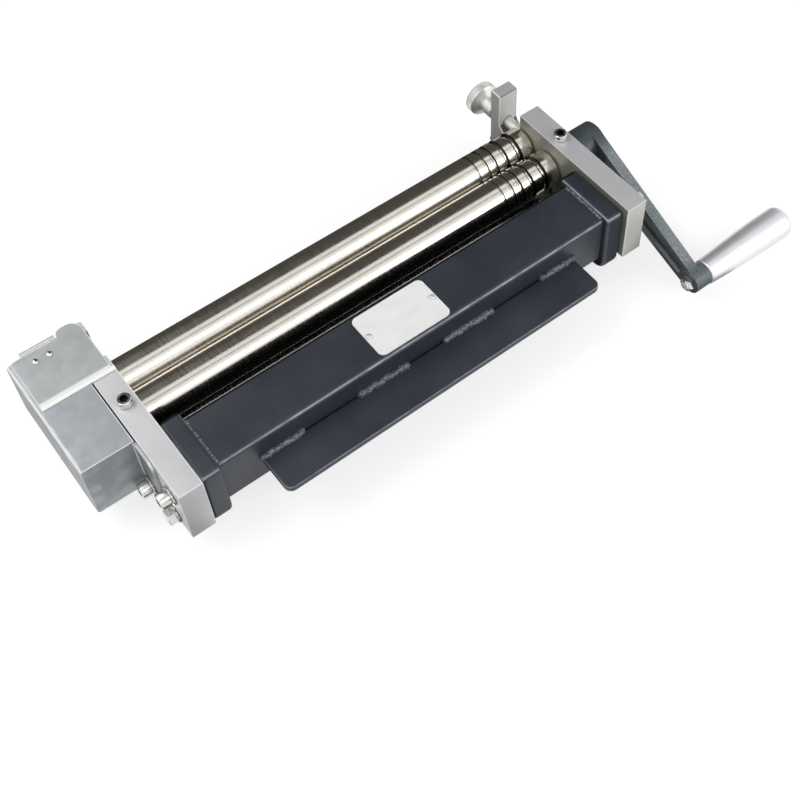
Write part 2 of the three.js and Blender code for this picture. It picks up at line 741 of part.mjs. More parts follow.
// Foot: the front wall carries on to the end plate and is bent to lie flat on it
function coverFoot() {
  const face = -plateOuterX - seat;
  const tip = coverFrontY - footLength;
  const top = plateTop - footDrop;
  const strip = filleted([
    [coverRightX - 2, coverFrontY], [face - sheet, coverFrontY, 0.8], [face - sheet, tip], [face, tip],
    [face, coverFrontY + sheet, 0.8 + sheet], [coverRightX - 2, coverFrontY + sheet]]);
  const rounded = filleted([
    [tip, coverBottomZ, 2], [coverFrontY + 2 * sheet, coverBottomZ],
    [coverFrontY + 2 * sheet, top], [tip, top, footCorner]]);
  const band = extruded(strip, coverBottomZ, top, null, 3)
    .intersect(extruded(rounded, coverRightX - 2 * sheet, face + 1, alongX, 6));
  const [holeY, holeZ] = footScrew;
  const hole = rod(face - 2 * sheet, face + 1, frameScrewRadius + seat, 16, latheX);
  return cut(band, moved(hole, 0, holeY, holeZ));
}

// Lid hinge: the pin lies low behind the cover's back wall, so that the lid's ear swings
// clear of the end plate's horn
const hingeY = coverBackY + seat + hingeRadius;
const hingeZ = lidBottomZ - hingeDrop;
const hingeRightX = coverRightX - 1;
const hingeLeftX = hingeRightX - hingeLength;

// Three knuckles: the lid's leaf has the middle one, as long as the fixed leaf's two together
function knuckleSpan(index) {
  const quarter = (hingeLength - 2 * knuckleGap) / 4;
  return [
    [hingeLeftX, hingeLeftX + quarter],
    [hingeLeftX + quarter + knuckleGap, hingeRightX - quarter - knuckleGap],
    [hingeRightX - quarter, hingeRightX]][index];
}

function knuckle(index) {
  const [from, to] = knuckleSpan(index);
  return moved(ring(from, to, hingePinRadius + running, hingeRadius, 20, latheX), 0, hingeY, hingeZ);
}

function clearKnuckle(index) {
  const [from, to] = knuckleSpan(index);
  const room = rod(from - knuckleGap, to + knuckleGap, hingeRadius + running, 20, latheX);
  return moved(room, 0, hingeY, hingeZ);
}

const pinDrill = moved(
  rod(hingeLeftX - 1, hingeRightX + 1, hingePinRadius + running, 20, latheX), 0, hingeY, hingeZ);

function fixedLeaf() {
  const front = hingeY - hingeRadius;
  const leaf = box(hingeLeftX, hingeRightX, front, front + hingeLeaf, hingeZ - fixedLeafReach, hingeZ);
  return cut(join(cut(leaf, clearKnuckle(1)), knuckle(0), knuckle(2)), pinDrill);
}

function lidLeaf() {
  const top = lidBottomZ - seat;
  const leaf = box(hingeLeftX, hingeRightX, hingeY - lidLeafReach, hingeY, top - hingeLeaf, top);
  const body = join(cut(leaf, clearKnuckle(0), clearKnuckle(2)), knuckle(1));
  const holes = lidRivetPlaces().map(([x, y]) =>
    moved(rod(top - 2 * hingeLeaf, top + 1, rivetRadius + seat, 12, latheZ), x, y, 0));
  return cut(body, pinDrill, ...holes);
}

function lidRivetPlaces() {
  const y = hingeY - lidRivetBack;
  const middle = (hingeLeftX + hingeRightX) / 2 - 1.5;
  return [[middle - lidRivetPitch / 2, y], [middle + lidRivetPitch / 2, y]];
}

function coverLid() {
  const left = coverLeftX + lidInset;
  const right = -plateOuterX + lidOverPlate;
  const earLeft = hingeRightX + seat;
  const earBack = plateDepth + earReach;
  const back = hingeY - hingeRadius - 0.4;
  const outline = filleted([
    [left, lidFrontY], [right, lidFrontY], [right, earBack, earCorner], [earLeft, earBack, earInnerCorner],
    [earLeft, back], [left, back, 2]]);
  const top = lidBottomZ + lidSheet;
  const panel = extruded(outline, lidBottomZ, top, null, 6);
  const lip = new THREE.Shape();
  lip.moveTo(lidBottomZ, 0);
  lip.absarc(lidBottomZ, lidLip / 2, lidLip / 2, -Math.PI / 2, Math.PI / 2, false);
  lip.closePath();
  const hem = moved(extruded(lip, left, right + 1.5, new THREE.Matrix4().makeBasis(
    new THREE.Vector3(0, 0, 1), new THREE.Vector3(0, -1, 0), new THREE.Vector3(1, 0, 0)), 6),
  0, lidFrontY + lidLip, 0);
  const holes = lidRivetPlaces().map(([x, y]) =>
    moved(rod(lidBottomZ - 1, top + 1, rivetRadius + seat, 12, latheZ), x, y, 0));
  return cut(join(panel, hem), ...holes);
}

function lidRivet([x, y]) {
  const level = lidBottomZ + lidSheet;
  return moved(rivet(level, lidSheet + seat + hingeLeaf + seat), x, y, 0);
}

piece("gear_cover", gearCover(), zincSheet);
piece("hinge_leaf_fixed", fixedLeaf(), zincSheet);
piece("hinge_pin", rod(hingeLeftX + 0.4, hingeRightX - 0.4, hingePinRadius, 16, latheX), brightSteel)
  .position.set(0, hingeY, hingeZ);
piece("cover_lid", coverLid(), zincSheet);
piece("hinge_leaf_lid", lidLeaf(), zincSheet);
lidRivetPlaces().forEach((place, i) =>
  piece(`lid_rivet_${sides[i][0]}`, lidRivet(place), brightSteel));

// Crank: cast arm with a recessed web on both faces, and a tapered handle free on its spindle

function taperOutline(hubWidth, bossWidth, from, to) {
  return filleted([
    [-from, -hubWidth], [-from, hubWidth], [-to, bossWidth], [-to, -bossWidth]]);
}

function crankArm() {
  const hub = rod(0, hubLength, hubRadius, 32, latheX);
  const bossEnd = bossInner + bossLength;
  const boss = moved(rod(bossInner, bossEnd, bossRadius, 24, latheX), 0, -crankReach, 0);
  const inner = hubLength - armThick;
  const shear = new THREE.Matrix4().set(
    1, armSlant / crankReach, 0, 0, 0, 1, 0, 0, 0, 0, 1, 0, 0, 0, 0, 1);
  const slanted = (shape, from, to) => {
    const geometry = new THREE.ExtrudeGeometry(shape, {
      depth: to - from, bevelEnabled: false, curveSegments: 3,
    });
    geometry.translate(0, 0, from);
    geometry.applyMatrix4(alongX);
    geometry.applyMatrix4(shear);
    return solid(geometry);
  };
  const arm = slanted(taperOutline(armHubWidth, armBossWidth, 0, crankReach), inner, hubLength);
  const pocketStart = hubRadius + 2.5;
  const pocketEnd = crankReach - bossRadius - 2;
  const widthAt = (reach) => armHubWidth + (armBossWidth - armHubWidth) * (reach / crankReach) - webRim;
  const pocket = filleted([
    [-pocketEnd, -widthAt(pocketEnd), 2], [-pocketStart, -widthAt(pocketStart), 4],
    [-pocketStart, widthAt(pocketStart), 4], [-pocketEnd, widthAt(pocketEnd), 2]]);
  const webFrom = inner + (armThick - webThick) / 2;
  const bore = cut(rod(-1, hubLength + 1, crankShaft + seat, 24, latheX),
    box(-2, hubLength + 2, -2 * crankShaft, 2 * crankShaft, shaftFlat + seat, 2 * crankShaft));
  return cut(join(arm, hub, boss),
    slanted(pocket, inner - 4, webFrom), slanted(pocket, webFrom + webThick, hubLength + 4), bore,
    rod(hubLength - crankSink, hubLength + 1, crankWasher + 2 * seat, 24, latheX),
    moved(rod(bossInner - 1, bossEnd + 1, spindleRadius + seat, 24, latheX), 0, -crankReach, 0));
}

const crankGroup = new THREE.Group();
crankGroup.position.set(hubX, driveY, axisZ);
crankGroup.rotation.x = crankAngle;
machine.add(crankGroup);
piece("crank_arm", crankArm(), greenPaint, crankGroup);

// The crank is held on by a washer and a bolt in the end of the drive roll's shaft
const crankWasherX = hubLength - crankSink + seat + washerThick;
piece("crank_washer",
  ring(crankWasherX - washerThick, crankWasherX, crankBoltRadius + seat, crankWasher, 24, latheX),
  brightSteel, crankGroup);
piece("crank_bolt",
  moved(hexBolt(crankBoltDepth + washerThick), crankWasherX + seat, 0, 0), brightSteel, crankGroup);

// Handle parts: local X starts at the handle's inner end, on the handle's axis

const counterbore = spindleHeadHeight + 2;

function crankHandle() {
  const bore = spindleRadius + running;
  const sink = spindleHead + running + 0.3;
  const end = handleLength;
  const straight = end - handleRound;
  const large = handleRadii[handleRadii.length - 1];
  const steps = handleRadii.length - 1;
  const side = handleRadii.slice(1).map((radius, i) => [straight * (i + 1) / steps, radius]);
  const nose = [];
  for (let step = 1; step <= 4; step++) {
    const angle = (Math.PI / 2) * (step / 4);
    nose.push([straight + handleRound * Math.sin(angle),
      large - handleRound * 0.6 * (1 - Math.cos(angle))]);
  }
  return turned([
    [0, bore], [0, handleRadii[0] - 0.6], [0.6, handleRadii[0]], ...side, ...nose,
    [end, sink], [end - counterbore, sink], [end - counterbore, bore], [0, bore]], 24, latheX);
}

function handleSpindle() {
  const head = handleLength - counterbore + seat;
  const tip = -seat - bossLength - seat - spindleNutHeight - spindleTip;
  const body = turned([
    [tip, 0], [tip, spindleRadius - 0.6], [tip + 0.6, spindleRadius], [head, spindleRadius],
    [head, spindleHead], [head + spindleHeadHeight, spindleHead],
    [head + spindleHeadHeight, 0]], 24, latheX);
  const socket = extruded(hexagon(6), head + 1.5, head + spindleHeadHeight + 1, alongX);
  return cut(body, socket);
}

function spindleNut() {
  const from = -seat - bossLength - seat - spindleNutHeight;
  return hexNut(from, spindleNutHeight, spindleNutAcross, spindleRadius);
}

const handleGroup = new THREE.Group();
handleGroup.position.set(handleX, handleY, handleZ);
machine.add(handleGroup);
piece("crank_handle", crankHandle(), aluminium, handleGroup);
piece("handle_spindle", handleSpindle(), brightSteel, handleGroup);
piece("spindle_nut", spindleNut(), brightSteel, handleGroup);

// The origin goes to the middle of the flange's underside, where a vise takes hold
machine.position.set(0, flangeReach / 2 - tubeFrontY, flangeThick - flangeTopZ);
const part = new THREE.Group();
part.name = "slip_roll";
part.add(machine);

export default part;
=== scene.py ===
# %% [markdown]
# # A bench slip roll machine
#
# This small machine rolls sheet metal and wire into curves. Two steel rolls are driven by a
# crank and a pair of gears, and a third roll below them bends what comes through. This lesson
# loads the machine's plain solids, remodels the pieces that a turner, a welder or a sheet
# metal worker would have shaped, and gives every piece the finish of the real metal.

# %% Load the machine
import json
import math
import random

import bpy
from mathutils import Matrix, Vector


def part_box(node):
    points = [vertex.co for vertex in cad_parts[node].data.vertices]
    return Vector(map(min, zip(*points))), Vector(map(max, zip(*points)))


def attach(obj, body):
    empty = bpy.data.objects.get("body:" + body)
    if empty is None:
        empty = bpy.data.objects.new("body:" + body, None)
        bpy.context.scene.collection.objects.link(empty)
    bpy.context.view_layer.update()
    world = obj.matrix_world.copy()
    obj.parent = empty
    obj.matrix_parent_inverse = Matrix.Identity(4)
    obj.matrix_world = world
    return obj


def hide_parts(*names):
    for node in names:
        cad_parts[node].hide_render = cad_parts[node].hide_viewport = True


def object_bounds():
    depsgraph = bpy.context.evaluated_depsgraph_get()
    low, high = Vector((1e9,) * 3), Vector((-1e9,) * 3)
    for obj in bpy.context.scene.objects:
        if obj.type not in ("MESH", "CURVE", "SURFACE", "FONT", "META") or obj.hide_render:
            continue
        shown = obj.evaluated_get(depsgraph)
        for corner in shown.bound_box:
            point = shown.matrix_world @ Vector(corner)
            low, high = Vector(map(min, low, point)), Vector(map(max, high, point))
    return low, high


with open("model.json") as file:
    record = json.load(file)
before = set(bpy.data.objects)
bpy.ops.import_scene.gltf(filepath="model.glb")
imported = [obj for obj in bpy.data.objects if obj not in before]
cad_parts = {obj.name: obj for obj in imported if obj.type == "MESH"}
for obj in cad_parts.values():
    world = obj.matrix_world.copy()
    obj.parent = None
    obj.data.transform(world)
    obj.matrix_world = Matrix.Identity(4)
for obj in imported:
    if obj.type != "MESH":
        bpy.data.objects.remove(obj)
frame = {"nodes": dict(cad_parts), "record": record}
cad_low, cad_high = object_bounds()
body_of_node = {
    node: body
    for body, nodes in frame["record"]["behaviour"]["bodies"].items()
    for node in nodes
}
MM = 0.001
print("solids:", len(frame["nodes"]), "size in mm:", [round(v / MM, 1) for v in cad_high - cad_low])

# %% [markdown]
# ## The camera
#
# The photograph looks down on the machine from the front left, from about 85 cm away. The
# place and the camera's own right and back directions were fitted to the machine's long
# edges, so no angle has to be turned into another one. The small shift is there because the
# machine is not in the middle of the picture.

# %% Set the camera
camera_place = Vector((-0.24817, -0.34611, 0.63676))
camera_right = Vector((0.78288, -0.62217, 0.00160))
camera_back = Vector((-0.37498, -0.46981, 0.79917))
camera_lens = 59.135
camera_shift = (-0.0970, -0.1279)

camera_up = camera_back.cross(camera_right).normalized()
camera_right = camera_up.cross(camera_back).normalized()
axes = Matrix((camera_right, camera_up, camera_back.normalized())).transposed()
bpy.ops.object.camera_add()
camera = bpy.context.object
camera.matrix_world = Matrix.Translation(camera_place) @ axes.to_4x4()
camera.data.lens = camera_lens
camera.data.shift_x, camera.data.shift_y = camera_shift
bpy.context.scene.camera = camera
print("camera looks down by", round(math.degrees(math.asin(camera_back.z)), 1), "degrees")

# %% [markdown]
# ## Nodes, colours and sizes in a material
#
# A material is a small network of nodes. One function adds any node with its settings and its
# links, so that a network reads from top to bottom. Colours are written as sRGB hex values,
# as a painter's chart gives them, and turned to the linear values that Blender works in.
# A pattern's scale is one over its real size in metres. Nearly every finish has a tone that
# drifts between dark and light in soft clouds, and a fine relief on its skin. A cutter or a
# grinding wheel leaves streaks, which are clouds drawn out along its way.

# %% Start a material
A, B, MIXED = 6, 7, 2  # a Mix node's two colour inputs and its colour output


def add(tree, kind, feeds=None, **settings):
    made = tree.nodes.new(kind)
    for name, value in settings.items():
        setattr(made, name, value)
    for socket, value in (feeds or {}).items():
        if isinstance(value, bpy.types.NodeSocket):
            tree.links.new(value, made.inputs[socket])
        else:
            made.inputs[socket].default_value = value
    return made


def colour(code):
    parts = [int(code[i:i + 2], 16) / 255 for i in (1, 3, 5)]
    return [c / 12.92 if c <= 0.04045 else ((c + 0.055) / 1.055) ** 2.4 for c in parts] + [1]


def every(size):
    return 1 / size


def start_material(name, metallic, roughness):
    material = bpy.data.materials.new(name)
    material.use_nodes = True
    tree = material.node_tree
    shader = tree.nodes["Principled BSDF"]
    shader.inputs["Metallic"].default_value = metallic
    shader.inputs["Roughness"].default_value = roughness
    place = add(tree, "ShaderNodeTexCoord").outputs["Object"]
    return material, tree, place


def drift(tree, place, size, detail, dark, light):
    clouds = add(tree, "ShaderNodeTexNoise", {"Vector": place, "Scale": every(size), "Detail": detail})
    tone = add(tree, "ShaderNodeMix", {0: clouds.outputs[0], A: colour(dark), B: colour(light)},
               data_type="RGBA")
    return clouds.outputs[0], tone.outputs[MIXED]


def streaks(tree, place, sizes, detail):
    drawn_out = add(tree, "ShaderNodeMapping", {"Vector": place, "Scale": [every(size) for size in sizes]})
    marks = add(tree, "ShaderNodeTexNoise", {"Vector": drawn_out.outputs[0], "Scale": 1, "Detail": detail})
    return marks.outputs[0]


def skin(material, relief, strength, depth, feeds):
    tree = material.node_tree
    shader = tree.nodes["Principled BSDF"]
    bump = add(tree, "ShaderNodeBump", {"Strength": strength, "Distance": depth, "Height": relief})
    tree.links.new(bump.outputs[0], shader.inputs["Normal"])
    for socket, value in feeds.items():
        tree.links.new(value, shader.inputs[socket])
    print(material.name, len(tree.nodes), "nodes")


print("dark enamel in linear values:", [round(c, 3) for c in colour("#1f252d")])

# %% [markdown]
# ## Wear and painted highlights along edges
#
# Paint thins on a sharp edge, and handling polishes it. A narrow rounding also catches the
# light, and that shine is painted in here as well, so the marks below are partly wear and
# partly painted highlight. Blender's Bevel node gives the normal that a rounded edge would
# have. Where it differs from the true normal, there is an edge. A noise breaks the line up, so
# that some stretches are marked and others are whole. Bars and tubes have wide, round corners
# instead. There the surface faces neither straight up, nor straight ahead, nor straight aside,
# and this marks the middle of the corner. The light comes from the front left and from above,
# so the painted highlight leaves out the corners at the back and keeps little of those on the
# right. Upright corners may be spared too.

# %% Find the edges
def broken_up(tree, place, line, patch, whole, least):
    patches = add(tree, "ShaderNodeTexNoise", {"Vector": place, "Scale": every(patch), "Detail": 4})
    kept = add(tree, "ShaderNodeMapRange", {
        "Value": patches.outputs[0], "From Min": whole, "From Max": 0.62, "To Min": least})
    marked = add(tree, "ShaderNodeMath", {0: line, 1: kept.outputs[0]}, operation="MULTIPLY", use_clamp=True)
    return marked.outputs[0]


def edge_line(tree, place, reach, patch, least):
    # On the metals this edge line is a painted highlight; on the lacquer it is a thin metal rim.
    rounded = add(tree, "ShaderNodeBevel", {"Radius": reach}, samples=6)
    true = add(tree, "ShaderNodeNewGeometry")
    same = add(tree, "ShaderNodeVectorMath", {0: rounded.outputs[0], 1: true.outputs["Normal"]},
               operation="DOT_PRODUCT")
    edge = add(tree, "ShaderNodeMapRange", {
        "Value": same.outputs["Value"], "From Min": 0.995, "From Max": 0.90})
    return broken_up(tree, place, edge.outputs[0], patch, 0.40, least)


def facing_parts(tree):
    normal = add(tree, "ShaderNodeTexCoord").outputs["Normal"]
    return add(tree, "ShaderNodeSeparateXYZ", {0: normal}).outputs


def corner_wear_and_highlight(tree, place, patch, least, upright=1, begin=0.88):
    facing = facing_parts(tree)
    straight = 0
    for part in facing:
        size = add(tree, "ShaderNodeMath", {0: part}, operation="ABSOLUTE")
        straight = add(tree, "ShaderNodeMath", {0: straight, 1: size.outputs[0]},
                       operation="MAXIMUM").outputs[0]
    corner = add(tree, "ShaderNodeMapRange", {
        "Value": straight, "From Min": begin, "From Max": begin - 0.12})
    corner_mark = corner.outputs[0]
    # the right, the back and the upright corners: from where to where wear and painted highlight fade, and
    # to what
    for part, whole, marked, fades_to in zip(facing, (0.5, 0.5, 0.15), (0.3, 0.3, 0.4), (0.2, 0, upright)):
        toward_light = add(tree, "ShaderNodeMapRange", {
            "Value": part, "From Min": whole, "From Max": marked, "To Min": fades_to})
        corner_mark = add(tree, "ShaderNodeMath", {0: corner_mark, 1: toward_light.outputs[0]},
                      operation="MULTIPLY").outputs[0]
    return broken_up(tree, place, corner_mark, patch, 0.38, least)


print("edge wear is ready")

# %% [markdown]
# ## Dark enamel on welded steel
#
# The tube, its end caps and the clamp flange are mild steel, welded and then sprayed with a
# dark blue-grey enamel. A sprayed coat is faintly uneven like orange peel, and it is semi-gloss.
# Its round corners are mixed towards a lighter grey, partly rubbed paint and partly a painted
# highlight, which leaves out corners that face the back and keeps little of those that face
# right or stand upright. The sides towards the rolls are painted near black and given little
# shine, as painted shade in the gap between the tube and the rolls.

# %% Mix the enamel
enamel, tree, place = start_material("sprayed_enamel", 0.0, 0.42)
clouds, tone = drift(tree, place, 38 * MM, 5, "#1f252d", "#30363f")
dust = add(tree, "ShaderNodeTexNoise", {"Vector": place, "Scale": every(0.9 * MM), "Detail": 2})
specks = add(tree, "ShaderNodeMapRange", {
    "Value": dust.outputs[0], "From Min": 0.66, "From Max": 0.80, "To Max": 0.35})
dusty = add(tree, "ShaderNodeMix", {0: specks.outputs[0], A: tone, B: colour("#6c7684")}, data_type="RGBA")
# Partly rubbed paint, partly a painted highlight: round corners are mixed towards a light grey.
wear_and_highlight_corners = corner_wear_and_highlight(tree, place, 9 * MM, 0.45, upright=0.1)
marked = add(tree, "ShaderNodeMix", {0: wear_and_highlight_corners, A: dusty.outputs[MIXED], B: colour("#9aa2ad")},
           data_type="RGBA")
# Painted shade: faces that turn to the back, into the gap between the tube and the rolls, go near black and
# lose most of their shine.
rearward = facing_parts(tree)[1]
rear_shade = add(tree, "ShaderNodeMapRange", {"Value": rearward, "From Min": 0.04, "From Max": 0.3})
rear_shaded = add(tree, "ShaderNodeMix", {
    0: rear_shade.outputs[0], A: marked.outputs[MIXED], B: colour("#0b0c0e")}, data_type="RGBA")
shine = add(tree, "ShaderNodeMapRange", {"Value": rear_shade.outputs[0], "To Min": 0.5, "To Max": 0.04})
gloss = add(tree, "ShaderNodeMapRange", {
    "Value": clouds, "From Min": 0.3, "From Max": 0.7, "To Min": 0.34, "To Max": 0.50})
peel = add(tree, "ShaderNodeTexNoise", {"Vector": place, "Scale": every(2.2 * MM), "Detail": 2})
skin(enamel, peel.outputs[0], 0.35, 0.05 * MM, {
    "Base Color": rear_shaded.outputs[MIXED], "Roughness": gloss.outputs[0],
    "Specular IOR Level": shine.outputs[0]})

# %% [markdown]
# ## Milled aluminium
#
# The end plates are cut from aluminium flat bar and milled. The cutter leaves fine parallel
# lines, and the thin oxide on them scatters light, so the metal is satin and pale, more like
# paper than like a mirror. All sharp edges carry a thin, nearly white painted highlight. The
# faces towards the rolls are painted darker and faintly yellow, as painted shade between the
# plates, and this painted shade ends at the plate's horn, the upright behind the slot, which
# is painted light grey. The horn's front wall is painted darker still, as painted shade and
# the painted reflection of the dark rolls. The filed inner edges are painted nearly white as a
# painted highlight, and the front of the right plate is painted paler, as painted light.

# %% Mill the aluminium
far = 1  # in metres, further than any part of the machine


def milled_aluminium(name, dark, light, lit_from=far, metallic=0.55):
    material, tree, place = start_material(name, metallic, 0.50)
    cloudy_tone = drift(tree, place, 24 * MM, 4, dark, light)[1]
    # Painted light: from this depth back, on the horn, the tone turns light grey, where the painted shade of
    # the faces towards the rolls ends.
    depth = add(tree, "ShaderNodeSeparateXYZ", {0: place})
    horn_lit = add(tree, "ShaderNodeMapRange", {
        "Value": depth.outputs[1], "From Min": lit_from, "From Max": lit_from + 8 * MM})
    tone = add(tree, "ShaderNodeMix", {0: horn_lit.outputs[0], A: cloudy_tone, B: colour("#d0d0cb")}, data_type="RGBA")
    # Painted highlight: a thin, nearly white line along the sharp edges.
    bright = edge_line(tree, place, 0.9 * MM, 12 * MM, 0.8)
    edged = add(tree, "ShaderNodeMix", {0: bright, A: tone.outputs[MIXED], B: colour("#f6f6f2")},
                data_type="RGBA")
    # cutter lines run along Y: 0.5 mm apart, 30 mm long
    marks = streaks(tree, place, (0.5 * MM, 30 * MM, 0.5 * MM), 3)
    satin = add(tree, "ShaderNodeMapRange", {
        "Value": marks, "From Min": 0.3, "From Max": 0.7, "To Min": 0.44, "To Max": 0.58})
    skin(material, marks, 0.25, 0.02 * MM, {
        "Base Color": edged.outputs[MIXED], "Roughness": satin.outputs[0]})
    return material


milled = milled_aluminium("milled_aluminium", "#bdbdc0", "#d6d6d9")
horn_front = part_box("end_plate_right")[1].y - 9 * MM
shade_end = horn_front - 8 * MM
# Painted shade: the faces towards the rolls, light again on the horn.
shaded_milled = milled_aluminium("shaded_milled_aluminium", "#84847a", "#9a9a8f", shade_end)
# Painted shade and painted reflection: the horn's front wall.
dark_shaded_milled = milled_aluminium("dark_shaded_milled_aluminium", "#55554f", "#6c6c66")
# Painted highlight: the filed inner edges and the lid's hem.
edge_highlight = milled_aluminium("edge_highlight_aluminium", "#ecece6", "#fafaf6", metallic=0.1)
# Painted light: the front of the right plate.
lit_milled = milled_aluminium("lit_milled_aluminium", "#cfcfca", "#e6e6e1", metallic=0.3)

# %% [markdown]
# ## Ground steel
#
# The rolls are centreless-ground bar. The wheel leaves hair-fine rings round the roll, and
# sheet metal passing through adds a few faint marks. The steel is bright and slightly warm.

# %% Grind the rolls
ground, tree, place = start_material("ground_steel", 1.0, 0.15)
# rings round the roll: they change along X only, and are drawn coarser than the wheel's grit
rings = streaks(tree, place, (0.8 * MM, 400 * MM, 400 * MM), 5)
tone = drift(tree, place, 30 * MM, 4, "#d3cec4", "#e9e5dd")[1]
polish = add(tree, "ShaderNodeMapRange", {
    "Value": rings, "From Min": 0.35, "From Max": 0.65, "To Min": 0.14, "To Max": 0.24})
skin(ground, rings, 0.18, 0.01 * MM, {"Base Color": tone, "Roughness": polish.outputs[0]})

# %% [markdown]
# ## Turned aluminium
#
# The crank's handle and the press knob are turned from aluminium bar and brushed, which gives
# rings round their axis and a soft, broad highlight. The handle is polished further by the
# hand. The rings differ only along the axis, so each axis has its own copy of the material.

# %% Turn the aluminium
def turned_aluminium(name, ring_sizes, dark, light, metallic, smooth):
    material, tree, place = start_material(name, metallic, smooth)
    tone = drift(tree, place, 14 * MM, 4, dark, light)[1]
    rings = streaks(tree, place, ring_sizes, 3)
    brushed = add(tree, "ShaderNodeMapRange", {
        "Value": rings, "From Min": 0.3, "From Max": 0.7, "To Min": smooth, "To Max": smooth + 0.16})
    skin(material, rings, 0.25, 0.02 * MM, {"Base Color": tone, "Roughness": brushed.outputs[0]})
    return material


across, along = 200 * MM, 0.6 * MM
handle_metal = turned_aluminium(
    "turned_handle_aluminium", (along, across, across), "#dcdce0", "#eeeef2", 0.8, 0.33)
knob_metal = turned_aluminium(
    "turned_knob_aluminium", (across, along, across), "#d2d2cd", "#ecece7", 0.7, 0.42)

# %% [markdown]
# ## Zinc-plated sheet
#
# The gear cover is folded from galvanised sheet. Molten zinc freezes in flat crystals a few
# millimetres wide, each a slightly different grey. Rolling and handling have worn them to a
# faint, cloudy mottle, and the zinc has gone dull, so it scatters light as well as mirroring.
# The lid is painted lighter than the box, as painted light, and the box's outer left side is
# painted darker, as painted shade. Folds, edges and the lid's hem are painted chalky white as
# painted highlights, and there the zinc mirrors little.

# %% Galvanise the sheet
def galvanised(name, dark, light, hem_end=-far):
    material, tree, place = start_material(name, 0.55, 0.46)
    wander = add(tree, "ShaderNodeTexNoise", {"Vector": place, "Scale": every(7 * MM), "Detail": 3})
    shaken = add(tree, "ShaderNodeVectorMath", {
        0: wander.outputs["Color"], 1: (6 * MM, 6 * MM, 6 * MM)}, operation="MULTIPLY")
    moved = add(tree, "ShaderNodeVectorMath", {0: place, 1: shaken.outputs[0]}, operation="ADD")
    crystals = add(tree, "ShaderNodeTexVoronoi", {
        "Vector": moved.outputs[0], "Scale": every(6 * MM)}, feature="SMOOTH_F1")
    shade = add(tree, "ShaderNodeSeparateColor", {0: crystals.outputs["Color"]})
    clouds = add(tree, "ShaderNodeTexNoise", {"Vector": place, "Scale": every(16 * MM), "Detail": 5})
    mottle = add(tree, "ShaderNodeMath", {0: shade.outputs[0], 1: clouds.outputs[0]}, operation="MULTIPLY")
    spread = add(tree, "ShaderNodeMapRange", {
        "Value": mottle.outputs[0], "From Min": 0.08, "From Max": 0.50})
    tone = add(tree, "ShaderNodeMix", {0: spread.outputs[0], A: colour(dark), B: colour(light)},
               data_type="RGBA")
    # Painted highlight: the lid's hem, the sharp edges and the round folds are mixed towards chalky white,
    # where the zinc also mirrors less.
    depth = add(tree, "ShaderNodeSeparateXYZ", {0: place})
    hem = add(tree, "ShaderNodeMapRange", {
        "Value": depth.outputs[1], "From Min": hem_end + 2 * MM, "From Max": hem_end})
    bright = hem.outputs[0]
    for mark in (edge_line(tree, place, 1.3 * MM, 14 * MM, 0.8),
                 corner_wear_and_highlight(tree, place, 14 * MM, 0.8, begin=0.97)):
        bright = add(tree, "ShaderNodeMath", {0: bright, 1: mark}, operation="MAXIMUM").outputs[0]
    edged = add(tree, "ShaderNodeMix", {0: bright, A: tone.outputs[MIXED], B: colour("#f2f6f6")},
                data_type="RGBA")
    dull = add(tree, "ShaderNodeMapRange", {"Value": spread.outputs[0], "To Min": 0.52, "To Max": 0.40})
    mirror = add(tree, "ShaderNodeMapRange", {"Value": bright, "To Min": 0.55, "To Max": 0.05})
    skin(material, mottle.outputs[0], 0.2, 0.05 * MM, {
        "Base Color": edged.outputs[MIXED], "Roughness": dull.outputs[0], "Metallic": mirror.outputs[0]})
    return material


zinc = galvanised("galvanised_sheet", "#9a9fa2", "#abb1b5")
# Painted shade: a darker copy for the box's outer left side.
shaded_zinc = galvanised("shaded_galvanised_sheet", "#87898a", "#979a9a")
lid_low, lid_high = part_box("cover_lid")
hem_width, hem_height = 3.4 * MM, 4 * MM
# Painted light: a lighter copy for the lid.
lit_zinc = galvanised("lit_galvanised_sheet", "#a6acac", "#b7bebd", lid_low.y + hem_width)

# %% [markdown]
# ## Hammered enamel on cast iron
#
# The crank arm is cast, so its skin is faintly lumpy, and it carries a dark grey-green
# hammered enamel. Hands and benches rub the arm's narrow edges, not its flat sides or the
# hubs at its ends, so those edges are speckled where the paint has worn to the grey casting.

# %% Enamel the crank
cast, tree, place = start_material("hammered_enamel", 0.0, 0.40)
tone = drift(tree, place, 9 * MM, 6, "#182125", "#38454a")[1]
crank_axis, handle_axis = (sum(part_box(node), Vector()) / 2 for node in ("drive_roll", "crank_handle"))
arm_length = (handle_axis - crank_axis).yz.length
from_axis = add(tree, "ShaderNodeVectorMath", {0: place, 1: crank_axis}, operation="SUBTRACT")
across_axis = add(tree, "ShaderNodeVectorMath", {0: from_axis.outputs[0], 1: (0, 1, 1)},
                  operation="MULTIPLY")
reach = add(tree, "ShaderNodeVectorMath", {0: across_axis.outputs[0]}, operation="LENGTH")
beyond_hub = add(tree, "ShaderNodeMapRange", {
    "Value": reach.outputs["Value"], "From Min": 13 * MM, "From Max": 24 * MM, "To Min": 0.12})
before_end = add(tree, "ShaderNodeMapRange", {
    "Value": reach.outputs["Value"], "From Min": arm_length - 12 * MM, "From Max": arm_length - 3 * MM,
    "To Min": 1, "To Max": 0.4})
sideways = add(tree, "ShaderNodeMath", {0: facing_parts(tree)[0]}, operation="ABSOLUTE")
edge_on = add(tree, "ShaderNodeMapRange", {
    "Value": sideways.outputs[0], "From Min": 0.75, "From Max": 0.35, "To Min": 0.02, "To Max": 0.9})
flecks = add(tree, "ShaderNodeTexNoise", {"Vector": place, "Scale": every(0.6 * MM), "Detail": 2})
